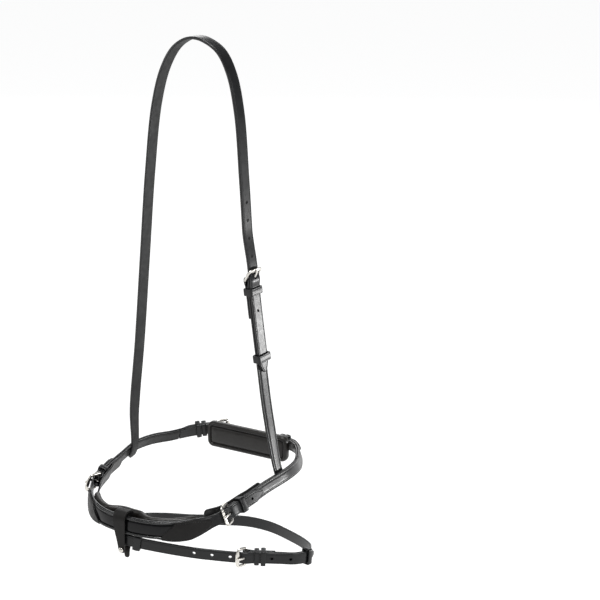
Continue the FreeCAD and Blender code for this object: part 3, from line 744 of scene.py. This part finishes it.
def buckle_tongue(name, m, size, body):
    """A sleeve round the heel bar and a tapered pin whose end rests on the toe bar."""
    wire, tilt, length = size["wire"], radians(size["tilt"]), size["length"]
    inner, outer, half = wire + 0.08, wire + 1.1, 1.45
    outline = [(-half, inner), (-half, outer - 0.35), (0.35 - half, outer), (half - 0.35, outer),
               (half, outer - 0.35), (half, inner)]
    sleeve = [[V((r * cos(2 * pi * k / 28), y, r * sin(2 * pi * k / 28))) for y, r in outline]
              for k in range(28)]
    verts, faces, _ = skin(sleeve, True)
    along, normal = V((cos(tilt), 0, sin(tilt))), V((-sin(tilt), 0, cos(tilt)))
    rest = wire * 0.92 + 1.8
    pin = [(-0.6, wire + 0.1), (1.4, wire + 0.75), (length * 0.45, rest + 0.1),
           (length * 0.8, rest + 0.25), (length, rest + 0.05), (length + 1.4, rest - 0.25),
           (length + 2.6, rest - 0.7)]
    line = spline([along * x + normal * z for x, z in pin], False, 4)
    radii = []
    for i in range(len(line)):
        f = i / (len(line) - 1)
        radii.append((1.25 - 0.2 * f) * sqrt(max(0.06, 1 - max(0.0, (f - 0.9) / 0.1) ** 2)))
    more, more_faces, _ = skin(tube(line, radii, 12, False, lambda i: (1.15, 0.9),
                                    along.cross(V((0, 1, 0)))), False)
    faces += [tuple(len(verts) + i for i in f) for f in more_faces]
    verts = [m @ p for p in verts + more]
    place(make_object(name, verts, faces, [NICKEL]), body, "nickel", name)


# ---- noseband
def nose_low(s):
    h = half_station(s)
    bulge = smoothstep(24, 55, h) * (1 - smoothstep(60, 92, h))
    return -9.5 - 3.5 * bulge + 3.1 * smoothstep(66, 98, h)


def nose_high(s):
    return 9.5 - 3.1 * smoothstep(66, 98, half_station(s))


LEG, FLAT, OVER, LIE = billet_offsets(PLY, SIDE_BUCKLE["wire"])


def billet_edge(edge_of, tips, half):
    """Edge of a band that is narrowed to a pointed billet at both of its ends."""
    first, second = pointed(tips[0], -1, half), pointed(tips[1], 1, half)

    def edge(s):
        limit, v = min(first(s), second(s)), edge_of(s)
        return v if limit >= half else max(-limit, v) if v < 0 else min(limit, v)
    return edge


def side_billet(bar, tip, start, n_start, heading):
    toe = bar - heading * SIDE_BUCKLE["length"] * 0.87
    return billet(start, n_start, toe, bar, tip, OVER, LIE, 1.7, (2.0, 1.6))


def billet_cutters(bars, heading, holes):
    """The worn hole at each front or rear buckle, and a punched one beyond it."""
    return [cutter for side in (NEAR, OFF) for cutter in (
        oval(ring, side_station(side, bars[side]), side * heading, SIDE_BUCKLE, 3.0, 14),
        hole(ring, side_station(side, holes[side]), LIE, 1.6))]


def build_nosepiece():
    near_half = side_billet(FRONT_BAR, FRONT_TIP, PANEL_END, BAND_N, 1)
    off_half = [(-s, n) for s, n in reversed(near_half)]
    path = off_half + run(-PANEL_END, PANEL_END, BAND_N)[1:-1] + near_half
    tips = (-FRONT_TIP, FRONT_TIP)
    spare = FRONT_BAR + HOLE_SPACING * 1.6
    cutters = billet_cutters({NEAR: FRONT_BAR, OFF: FRONT_BAR}, -1, {NEAR: spare, OFF: spare})
    cutters += [hole(ring, side_station(side, 86), BAND_N) for side in (NEAR, OFF)]
    strap("nose_band", ring, path, billet_edge(nose_low, tips, BILLET_HALF),
          billet_edge(nose_high, tips, BILLET_HALF), PLY, CREASED, STRAP, cutters)

    face = BAND_N + PLY / 2.0 + GAP
    reach = SEAM + 12
    strap("nose_panel", ring, run(-reach, reach, face + 0.6), -6.3, 6.3, 1.2,
          [(0, 0.7), (0.6, 0.3), (1.8, 0.05)], [PATENT], slot="patent_leather", crown=0.35)
    for name, low, high, past in (("nose_edging_top", 6.6, 9.4, 19),
                                  ("nose_edging_bottom", -9.4, -6.6, 2)):
        reach = SEAM + past
        path = [(s, face + 1.1 - 1.9 * smoothstep(SEAM - 2, reach, abs(s)))
                for s, _ in run(-reach, reach, 0)]
        strap(name, ring, path, low, high, 2.2, ROLLED, [EDGE])
    for side, name in SIDES:
        build_end_panel(side, name, face + 0.8)
    for side, name in SIDES:
        rows = [line_on(ring, side * (FRONT_BAR + 13), side * (FRONT_TIP - 12),
                        LIE + PLY / 2.0 - 0.12, w, 2.15) for w in (4.7, -4.7)]
        sew("nose_billet_stitching_" + name, rows, PALE_THREAD, (2.8, 1.7, 0.22))


def build_end_panel(side, name, top):
    """A matt lens-shaped piece sewn over one end of the nosepiece, with a slanted front edge."""
    shrink = lambda s: 1 - 0.32 * smoothstep(66, PANEL_END, half_station(s))
    tail = lambda s: 0.35 + 0.65 * sqrt(max(0.05, min(1.0, (PANEL_END - half_station(s)) / 5.0)))
    low = lambda s: (nose_low(s) * shrink(s) + 0.3) * tail(s)
    high = lambda s: (nose_high(s) * shrink(s) - 0.3) * tail(s)
    slant = lambda s: 1 - smoothstep(SEAM - 6, SEAM + 28, half_station(s))
    bow = lambda s, w: side * 15.0 * smoothstep(-9, 10, w) * slant(s)
    path = [(side * s, top) for s, _ in rounded_run(SEAM - 0.7, PANEL_END, 0, 4.0, 2.2)]
    strap("nose_end_panel_" + name, ring, path, low, high, 1.6,
          [(0, 0.9), (0.15, 0.5), (0.5, 0.16), (1.1, 0.0), (1.9, 0.0), (2.2, 0.3), (2.5, 0.02),
           (3.2, -0.05)], [MATT, EDGE], slot="matte_leather", crown=0.9, bow=bow)

    def stitch_at(s, w, n):
        return ring.at(s + bow(s, w), top + n, w), ring.frame(s)[2]
    stations = [side * (SEAM + 2.5 + (PANEL_END - SEAM - 8) * k / 23) for k in range(24)]
    rows = [[stitch_at(s, low(s) + 2.2, 1.05) for s in stations],
            [stitch_at(s, high(s) - 2.2, 1.05) for s in stations],
            [stitch_at(side * (SEAM + 1.9), w, 0.95 + 0.35 * (1 - (w / 9) ** 2))
             for w in (-8.0 + 15.5 * k / 9 for k in range(10))]]
    sew("nose_end_stitching_" + name, rows, THREAD, (2.6, 1.8, 0.26), "matte_leather")


def puff(obj, voxel, cap, pressure=4.0, frames=20):
    """Fills a soft piece by a short cloth run, each point kept within cap of where it started."""
    mesh = obj.data
    remesh = obj.modifiers.new("remesh", "REMESH")
    remesh.mode = "VOXEL"
    remesh.voxel_size = voxel * MM
    base = evaluated_mesh(obj)
    obj.modifiers.remove(remesh)
    mats = list(mesh.materials)
    obj.data = base
    base.materials.clear()
    for m in mats:
        base.materials.append(m)
    bpy.data.meshes.remove(mesh)
    for polygon in base.polygons:
        polygon.use_smooth = True
    start = [v.co.copy() for v in base.vertices]
    cloth = obj.modifiers.new("cloth", "CLOTH")
    settings = cloth.settings
    settings.quality, settings.mass, settings.bending_stiffness = 5, 0.3, 0.6
    settings.tension_stiffness = settings.compression_stiffness = 12
    settings.use_pressure = True
    settings.uniform_pressure_force = pressure
    settings.effector_weights.gravity = 0
    cloth.point_cache.frame_start = 1
    cloth.point_cache.frame_end = frames
    scene = bpy.context.scene
    for f in range(1, frames + 1):
        scene.frame_set(f)
    moved = evaluated_mesh(obj)
    for v, a, b in zip(base.vertices, start, moved.vertices):
        step = b.co - a
        if step.length > cap * MM:
            step = step.normalized() * cap * MM
        v.co = a + step
    bpy.data.meshes.remove(moved)
    obj.modifiers.remove(cloth)
    scene.frame_set(1)
    for _ in range(3):
        relax(base)


def relax(mesh, share=0.5):
    """One pass that moves each point part of the way to the middle of its neighbours."""
    total = [V((0, 0, 0)) for _ in mesh.vertices]
    count = [0] * len(mesh.vertices)
    for e in mesh.edges:
        a, b = e.vertices
        total[a] += mesh.vertices[b].co
        total[b] += mesh.vertices[a].co
        count[a] += 1
        count[b] += 1
    moved = [v.co.lerp(total[i] / count[i], share) if count[i] else v.co.copy()
             for i, v in enumerate(mesh.vertices)]
    for v, p in zip(mesh.vertices, moved):
        v.co = p


def build_nose_pad():
    """A long soft roll behind the band that stands over its top edge."""
    inner = BAND_N - PLY / 2.0
    reach, corner = 79.5, 9.0
    push = lambda s: NOSE_PAD_DIP * (1 - smoothstep(10, 31, abs(s + 7)))
    dip = lambda s: inner - NOSE_PAD_THICK / 2 - 0.35 - push(s)
    half = lambda s: rounded(s, -reach, reach, 10.6, corner)
    depth = lambda s: 0.45 + 0.55 * sqrt(max(0.0, min(1.0, (reach + 1 - abs(s)) / 10.0)))
    face = [(d, h * 0.85) for d, h in ((0, 3.9), (0.25, 2.6), (0.9, 1.4), (2.0, 0.5), (3.6, 0.0))]
    pad = sweep("nose_pad", ring, rounded_run(-reach, reach, dip, corner, 2.5),
                lambda s: 0.75 - half(s), lambda s: 0.75 + half(s),
                lambda s: (NOSE_PAD_THICK - 1.2) * depth(s), face, [SOFT], back=face)
    pad.modifiers.clear()
    puff(pad, 1.8, 0.9)
    place(pad, "noseband", "padding_leather", "nose_pad")


def build_side(side, name):
    """A side strap with its lining, buckle safe, keepers and both buckles."""
    st = lambda s: side_station(side, s)
    seat = lambda s, heading: seat_matrix(ring, st(s), 0, heading * side)
    on_side = lambda points: [(st(s), n) for s, n in points][::side]
    half, shift = SIDE_WIDTH / 2.0, REAR_SHIFT[side]
    rear_bar = REAR_BAR + shift
    front = chape(FRONT_BAR, -1, LEG, FLAT, FRONT_BAR + 46, 200)
    rear = chape(rear_bar, 1, LEG, FLAT, rear_bar - 46, 200)
    strap(name + "_side_strap", ring, on_side(front + rear[::-1][1:]), -half, half, PLY, DOUBLE,
          STRAP, [slot_cut(ring, st(bar), heading * side, SIDE_BUCKLE, *SLOT_SPAN)
                  for bar, heading in ((FRONT_BAR, -1), (rear_bar, 1))])
    strap(name + "_side_lining", ring, on_side(run(FRONT_BAR + 47.5, rear_bar - 47.5, -FLAT)),
          -half, half, PLY, BACK, [LINING, EDGE], slot="lining_leather", back=CREASED)

    under = LEG + PLY / 2.0 + GAP + 0.9
    rest = FLAT + PLY / 2.0 + GAP + 0.9
    behind = rest + 1.9

    def safe_n(h):
        n = under + (behind - under) * smoothstep(FRONT_BAR + 3, FRONT_BAR + 12, h)
        return -(n + (rest - n) * smoothstep(FRONT_KEEPER + 6, FRONT_KEEPER + 18, h))
    rise = lambda s: 3.5 * (1 - smoothstep(SAFE_START, FRONT_BAR, half_station(s)))
    spread = lambda s: rounded(half_station(s), SAFE_START, SAFE_END, 9.0 - 0.3 * smoothstep(
        FRONT_BAR, FRONT_BAR + 9, half_station(s)), 5.0)
    strap(name + "_buckle_safe", ring, on_side(rounded_run(SAFE_START, SAFE_END, safe_n, 5.0)),
          lambda s: rise(s) - spread(s), lambda s: rise(s) + spread(s), 1.8, SAFE_FACE,
          [LINING, EDGE], slot="lining_leather", back=SAFE_FACE, crown=0.2)
    rows = []
    for face_side in (1, -1):
        for edge_side in (1, -1):
            line = []
            for k in range(30):
                h = SAFE_START + 2.0 + (SAFE_END - SAFE_START - 4.0) * k / 29
                w = rise(h) + edge_side * max(0.5, spread(h) - 2.0)
                line.append((ring.at(st(h), safe_n(h) + face_side * 0.8, w),
                             ring.frame(st(h))[2] * face_side))
            rows.append(line)
    sew(name + "_safe_stitching", rows, THREAD, (2.8, 1.9, 0.24), "lining_leather")

    surface = FLAT + PLY / 2.0
    rows, under_rows = [], []
    for w in (half - 2.0, -half + 2.0):
        ends = st(FRONT_TIP + 4), st(REAR_TIP + shift - 4)
        rows.append(line_on(ring, *ends, surface - 0.05, w))
        under_rows.append([(p, n * -1) for p, n in line_on(ring, *ends, 0.05 - surface, w)])
        rows.append(line_on(ring, st(FRONT_BAR + 9), st(FRONT_KEEPER - 4), surface - 0.05, w))
    sew(name + "_side_stitching", rows, PALE_THREAD, (3.2, 2.2, 0.32))
    sew(name + "_lining_stitching", under_rows, THREAD, (3.0, 1.9, 0.24), "lining_leather")

    high = LIE + PLY / 2.0
    for part, s, heading, ease, length, body in (
            ("front", FRONT_KEEPER, -1, 0.35, 7.0, "noseband"),
            ("rear", REAR_KEEPER + shift, 1, 0.35, 5.5, "noseband"),
            ("rear_sliding", REAR_SLIDER + shift, 1, 0.85, 5.5, name + "_rear_keeper_body")):
        loop("%s_%s_keeper" % (name, part), seat(s, heading), SIDE_WIDTH + 2 * ease + 0.1,
             -surface - ease, high + ease, length, body)
    buckle(name + "_front", seat(FRONT_BAR, -1), SIDE_BUCKLE)
    buckle(name + "_rear", seat(rear_bar, 1), SIDE_BUCKLE)


def jaw_pad_outline(inset):
    r = max(0.6, JAW_PAD_RADIUS - inset)
    half_x, half_z = JAW_PAD_HALF[0] - inset, max(JAW_PAD_HALF[1] - inset, r + 0.05)
    cx, cz = JAW_PAD_CENTRE
    track = rounded_track((cx - half_x, cx + half_x), (cz - half_z, cz + half_z), r, 8, (20, 6))
    return [(x, z) for x, z, _, _ in track]


def jaw_pad_mesh():
    """A flat pad with a rolled border, a sewn channel and a low crowned middle, on both faces."""
    # (inset from the outline, depth from the mid plane on the jaw side)
    insets = [(0.0, 0.0), (0.12, 1.9), (0.6, 3.2), (1.5, 4.25), (2.6, 4.75), (3.6, 4.6),
              (4.3, 3.7), (4.75, 2.7), (5.2, 2.45), (5.65, 2.7), (6.2, 3.8), (7.2, 4.35),
              (9.5, 4.7), (12.5, 4.9), (15.4, 5.0)]
    layers = [(i, -d) for i, d in reversed(insets)] + [(i, d * 0.94) for i, d in insets[1:]]
    rings = [[V((x, JAW_PAD_MID_Y + y, z)) for x, z in jaw_pad_outline(inset)]
             for inset, y in layers]
    count, last = len(rings[0]), len(rings) - 1
    faces = []
    for i in range(last):
        for j in range(count):
            k = (j + 1) % count
            faces.append((i * count + j, i * count + k, (i + 1) * count + k, (i + 1) * count + j))
    faces += [tuple(base + j for j in range(count)) for base in (0, last * count)]
    return [p for r in rings for p in r], faces


def build_jaw():
    """The jaw strap with its two billets, and the stitched jaw pad that it holds."""
    bars = {side: REAR_BAR + REAR_SHIFT[side] for side in (NEAR, OFF)}
    tips = {side: REAR_TIP + REAR_SHIFT[side] for side in (NEAR, OFF)}
    near_half, off_half = (side_billet(bars[side], tips[side], bars[side] + 27, JAW_STRAP_N, -1)
                           for side in (NEAR, OFF))
    off_half = [(ring.length - s, n) for s, n in off_half]
    centre = run(near_half[0][0], off_half[0][0], JAW_STRAP_N)[1:-1]
    near_edge = pointed(tips[NEAR], -1, JAW_STRAP_HALF)
    off_edge = pointed(ring.length - tips[OFF], 1, JAW_STRAP_HALF)
    edge = lambda s: min(near_edge(s), off_edge(s))
    cutters = billet_cutters(bars, 1, {side: tips[side] + 13.5 for side in (NEAR, OFF)})
    strap("jaw_strap", ring, near_half[::-1] + centre + off_half, lambda s: -edge(s), edge, PLY,
          CREASED, STRAP, cutters)

    pad = make_object("jaw_pad", *jaw_pad_mesh(), [SOFT])
    place(pad, "noseband", "padding_leather", "jaw_pad")
    rows = []
    for face_side, depth in ((-1, 2.55), (1, 2.4)):
        line = [(V((x, JAW_PAD_MID_Y + face_side * depth, z)), V((0, face_side, 0)))
                for x, z in jaw_pad_outline(5.2)]
        rows.append(line + line[:1])
    sew("jaw_pad_stitching", rows, THREAD, (3.2, 2.2, 0.3), "padding_leather")
    for x, name in ((-6, "near"), (-19, "off")):
        m = Matrix(((1, 0, 0, x), (0, 0, 1, 0), (0, 1, 0, JAW_PAD_CENTRE[1]), (0, 0, 0, 1)))
        loop("jaw_pad_loop_" + name, m, 14.4, 99.2, 105.5, 10.0)


def build_headstrap():
    """The long headstrap over the poll, the short near strap and the buckle that joins them."""
    top, last = arch.length / 2.0, arch.length
    station = lambda z: arch.station_at_height(z - CROWN_DROP, last, top)
    bar, tip = station(CHEEK_BAR_Z), station(CROWN_TIP_Z)
    ply = CROWN_THICK - 0.4
    leg, flat, over, lie = billet_offsets(ply, CHEEK_BUCKLE["wire"])
    over, lie = over + BILLET_EASE, lie + BILLET_EASE
    toe = bar - CHEEK_BUCKLE["length"] * 0.84
    path = [(s, 0) for s in (0.0, 0.5, 1.2, 2.2, 3.4)] + run(5.0, toe - 45, 0, step=4.0)
    path += billet(toe - 45, 0, toe, bar, tip, over, lie, 2.0, (2.0, 1.8))[1:]
    point = pointed(tip, 1, CROWN_WIDTH / 2.0, 12.0)
    start = lambda s: 1.0 if s > 4 else 0.62 + 0.38 * sqrt(1 - ((4 - s) / 4) ** 2)
    edge = lambda s: point(s) * start(s)
    cutters = [oval(arch, bar, -1, CHEEK_BUCKLE, 2.6, 14)]
    for z in CROWN_HOLES_Z:
        above = z > CHEEK_BAR_Z + 25
        cutters.append(hole(arch, station(z), 0 if above else lie, 12.0 if above else 1.8))
    strap("crown_strap", arch, path, lambda s: -edge(s), edge, CROWN_THICK, CREASED, STRAP,
          cutters, inner=FLESH)

    path = chape(bar, -1, leg, flat, bar + 42, tip)
    path += run(tip, last - 24, flat, 0)[1:] + run(last - 24, last, 0)[1:]
    half = CHEEK_WIDTH / 2.0
    strap("cheek_strap", arch, path, -half, half, ply - 0.25, RAISED, STRAP,
          [slot_cut(arch, bar, -1, CHEEK_BUCKLE, *SLOT_SPAN)])
    buckle("cheek", seat_matrix(arch, bar, 0, -1), CHEEK_BUCKLE)
    low, high = flat + ply / 2.0, lie + CROWN_THICK / 2.0
    loop("cheek_fixed_keeper", seat_matrix(arch, station(CHEEK_KEEPER_Z), 0, 1),
         CHEEK_WIDTH + 0.8, -low - 0.35, high + 0.35, 8.0)
    loop("cheek_sliding_keeper", seat_matrix(arch, station(CHEEK_SLIDER_Z), 0, 1),
         CHEEK_WIDTH + 1.6, flat - ply / 2.0 - 0.9, high + 0.75, 8.5, "cheek_keeper")
    rows = []
    for w in (4.7, -4.7):
        line = line_on(arch, 2.0, 20.0, CROWN_THICK / 2.0 - 0.05, w)
        rows += [line, [(p - n * (CROWN_THICK - 0.1), n * -1) for p, n in line]]
    rows += [line_on(arch, bar + 5.0, bar + 8.5, low + 0.4, w) for w in (5.4, -5.4)]
    sew("headstrap_stitching", rows, THREAD, (3.0, 2.0, 0.28))


def build_flash():
    """The flash strap, one loop from its hanger round to its buckle, with its keepers."""
    leg, flat, over, lie = billet_offsets(FLASH_PLY, FLASH_BUCKLE["wire"])
    over, lie = over + BILLET_EASE, lie + BILLET_EASE
    bar, tip = FLASH_BAR + flash.length, FLASH_TIP + flash.length
    toe = bar - FLASH_BUCKLE["length"] * 0.84
    path = chape(FLASH_BAR, -1, leg, flat, FLASH_BAR + 30, FLASH_BAR + 52)
    path += run(FLASH_BAR + 52, FLASH_BAR + 90, flat, 0)[1:]
    path += run(FLASH_BAR + 90, toe - 30, 0)[1:]
    path += billet(toe - 30, 0, toe, bar, tip, over, lie, 1.9, (1.8, 1.6), 10.0)[1:]
    edge = pointed(tip, 1, FLASH_WIDTH / 2.0, 10.0)
    cutters = [slot_cut(flash, FLASH_BAR, -1, FLASH_BUCKLE, -5.2, 3.95),
               oval(flash, FLASH_BAR, -1, FLASH_BUCKLE, 3.9, 14)]
    cutters += [hole(flash, FLASH_BAR - 16.5 + HOLE_SPACING * k, 0, 5.0) for k in (-2, -1, 0)]
    cutters += [hole(flash, FLASH_BAR + 8 + HOLE_SPACING * k, lie, 1.5) for k in (1, 2)]
    strap("flash_strap", flash, path, lambda s: -edge(s), edge, FLASH_PLY, CREASED, STRAP, cutters,
          "flash")
    buckle("flash", seat_matrix(flash, FLASH_BAR, 0, -1), FLASH_BUCKLE, "flash")

    low, high = -(flat + FLASH_PLY / 2.0), lie + FLASH_PLY / 2.0
    around = FLASH_PLY / 2.0 + 1.4
    for part, s, ease, bottom, top, length, body in (
            ("fixed", FLASH_KEEPER, 0.8, low - 0.35, high + 0.35, 5.0, "flash"),
            ("sliding", FLASH_SLIDER, 1.6, low - 0.75, high + 0.75, 5.0, "flash_keeper"),
            ("tip", FLASH_TIP_LOOP, 2.2, flat - FLASH_PLY / 2.0 - 1.6, high + 1.0, 5.5,
             "flash_tip_loop"),
            ("hanger", FLASH_RUNNER, 1.4, -around, around, 8.0, "flash_runner")):
        loop("flash_" + part + "_keeper", seat_matrix(flash, s, 0, 1), FLASH_WIDTH + ease, bottom,
             top, length, body)


def build_hanger():
    """Leather loop over the nosepiece that carries the flash strap, and its screw."""
    y0 = ring.pos(ring.length - 6).y
    out = BAND_N + PLY / 2.0 + 2 * GAP + 2.2 + HANGER_THICK / 2.0 + 0.9
    front = [(out - 0.4, -31), (out - 0.1, -26), (out, -12), (out, 0), (out - 0.4, 8),
             (out - 2.6, 12.2), (1.4, 13.6)]
    rear = [(-4.5, 13.2), (HANGER_BACK + 0.8, 11.2), (HANGER_BACK, 7), (HANGER_BACK, -2),
            (HANGER_BACK + 0.6, -11), (-5, -19), (-1.8, -24), (0.2, -28), (1.4, -32), (1.6, -38)]
    guide = spline([V((0, y0 - n, z - CROWN_DROP)) for n, z in front + rear], False, 8)
    split, total = 8 * len(front), len(guide) - 1
    rings = []
    for i, p in enumerate(guide):
        along = (guide[min(i + 1, total)] - guide[max(i - 1, 0)]).normalized()
        side = along.cross(V((1, 0, 0)))
        spread = smoothstep(-30, 6 if i < split else 2, p.z + CROWN_DROP)
        x, half = ((-5 - 2 * spread, 4.0 + 3.5 * spread) if i < split
                   else (-2.5 - 4.5 * spread, 3.2 + 4.3 * spread))
        end = min(i, total - i)
        if end < 7:
            half *= 0.55 + 0.45 * sqrt(1 - ((7 - end) / 7.0) ** 2)
        points, edges = section(-half, half, HANGER_THICK, CREASED, BACK, 0.0)
        rings.append([p + V((x + w, 0, 0)) + side * d for w, d in points])
    obj = solid("flash_hanger", rings, False, [MATT, EDGE], edges)
    screw = V((-5, y0 - out, HANGER_SCREW_Z - CROWN_DROP))
    m = Matrix(((1, 0, 0, screw.x), (0, 0, 1, screw.y), (0, -1, 0, screw.z), (0, 0, 0, 1)))
    place(cut(obj, [round_cutter(m, 1.75, 20.0)]), "noseband", "bridle_leather", "flash_hanger")
    profile = [(0.02, -3.1), (1.2, -3.0), (2.2, -2.7), (2.9, -2.1), (3.05, -1.6), (2.8, -1.3),
               (1.5, -1.3), (1.5, 10.4), (2.8, 10.4), (3.0, 10.6), (3.0, 11.2), (2.5, 11.7),
               (0.02, 11.9)]
    rings = [[screw + V((r * cos(2 * pi * k / 24), y, r * sin(2 * pi * k / 24)))
              for k in range(24)] for r, y in profile]
    made = weighted(solid("flash_hanger_screw", rings, False, [NICKEL]))
    place(made, "noseband", "nickel", "flash_hanger_screw")


# ---- camera, floor and light
def stage_piece(name, verts, faces, colour, glow):
    mesh = bpy.data.meshes.new(name)
    mesh.from_pydata(verts, [], faces)
    piece = linked(name, mesh)
    finish = material(name + "_finish", colour, 0.9, specular=0.1, mottle=0.0, spread=0.02)
    put(finish.node_tree.nodes["Principled BSDF"],
        {"Emission Color": (1, 1, 1, 1), "Emission Strength": glow})
    mesh.materials.append(finish)
    piece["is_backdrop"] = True
    return piece


def softbox(name, place_at, aim, width, height, power):
    data = bpy.data.lights.new(name, "AREA")
    data.shape = "RECTANGLE"
    data.size, data.size_y = width, height
    data.energy = power
    light = linked(name, data)
    light.location = place_at
    light.rotation_mode = "QUATERNION"
    light.rotation_quaternion = (V(aim) - V(place_at)).to_track_quat("-Z", "Y")
    light.visible_camera = False


def build_stage():
    """Camera, floor, backdrop and lights, all in metres."""
    cam_data = bpy.data.cameras.new("camera")
    cam_data.lens, cam_data.sensor_width = CAMERA_LENS, CAMERA_SENSOR
    cam_data.clip_start, cam_data.clip_end = 0.05, 100.0
    cam = linked("camera", cam_data)
    turn, pitch = radians(CAMERA_TURN), radians(CAMERA_PITCH)
    forward = V((-sin(turn) * cos(pitch), cos(turn) * cos(pitch), -sin(pitch)))
    cam.location = CAMERA_PLACE
    cam.rotation_mode = "QUATERNION"
    cam.rotation_quaternion = forward.to_track_quat("-Z", "Y")
    bpy.context.scene.camera = cam

    corners = [(-1, -1), (1, -1), (1, 1), (-1, 1)]
    floor_verts = [(x * FLOOR_HALF, y * FLOOR_HALF, FLOOR_Z) for x, y in corners]
    wall_verts = [(x * WALL_HALF, y * WALL_HALF, z) for z in (FLOOR_Z, WALL_TOP)
                  for x, y in corners]
    walls = [(i, (i + 1) % 4, (i + 1) % 4 + 4, i + 4) for i in range(4)]
    stage_piece("floor", floor_verts, [(0, 1, 2, 3)], (0.25, 0.25, 0.25), 0.88)
    backdrop = stage_piece("backdrop", wall_verts, walls, (0.0, 0.0, 0.0), 0.93)
    # The backdrop only closes the view behind the floor: it throws no light on the object.
    backdrop.visible_diffuse = backdrop.visible_glossy = False
    backdrop.visible_transmission = backdrop.visible_shadow = False

    world = bpy.data.worlds.new("studio")
    bpy.context.scene.world = world
    world.use_nodes = True
    put(world.node_tree.nodes["Background"], {"Color": (0.97, 0.985, 1.0, 1), "Strength": 0.3})

    centre = (0, 0, -0.35)
    for light in (("low_right_softbox", (0.95, 0.65, -0.56), (0.09, 0, -0.42), 0.46, 0.13, 6),
                  ("left_rear_softbox", (-1.5, 3.0, 0.9), centre, 3.0, 1.4, 34),
                  ("right_softbox", (2.4, -0.5, 0.5), centre, 0.7, 1.2, 14),
                  ("left_softbox", (-1.9, -1.6, 0.8), centre, 0.9, 1.4, 14),
                  ("top_softbox", (0.2, -0.6, 2.4), centre, 1.2, 1.2, 90)):
        softbox(*light)
    bpy.context.scene.view_settings.view_transform = "Standard"


build_stage()
build_nosepiece()
build_nose_pad()
for side, name in SIDES:
    build_side(side, name)
build_jaw()
build_headstrap()
build_flash()
build_hanger()

low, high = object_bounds()
{"cad": [list(CAD_BOX[0]), list(CAD_BOX[1])], "visual": [list(low), list(high)]}
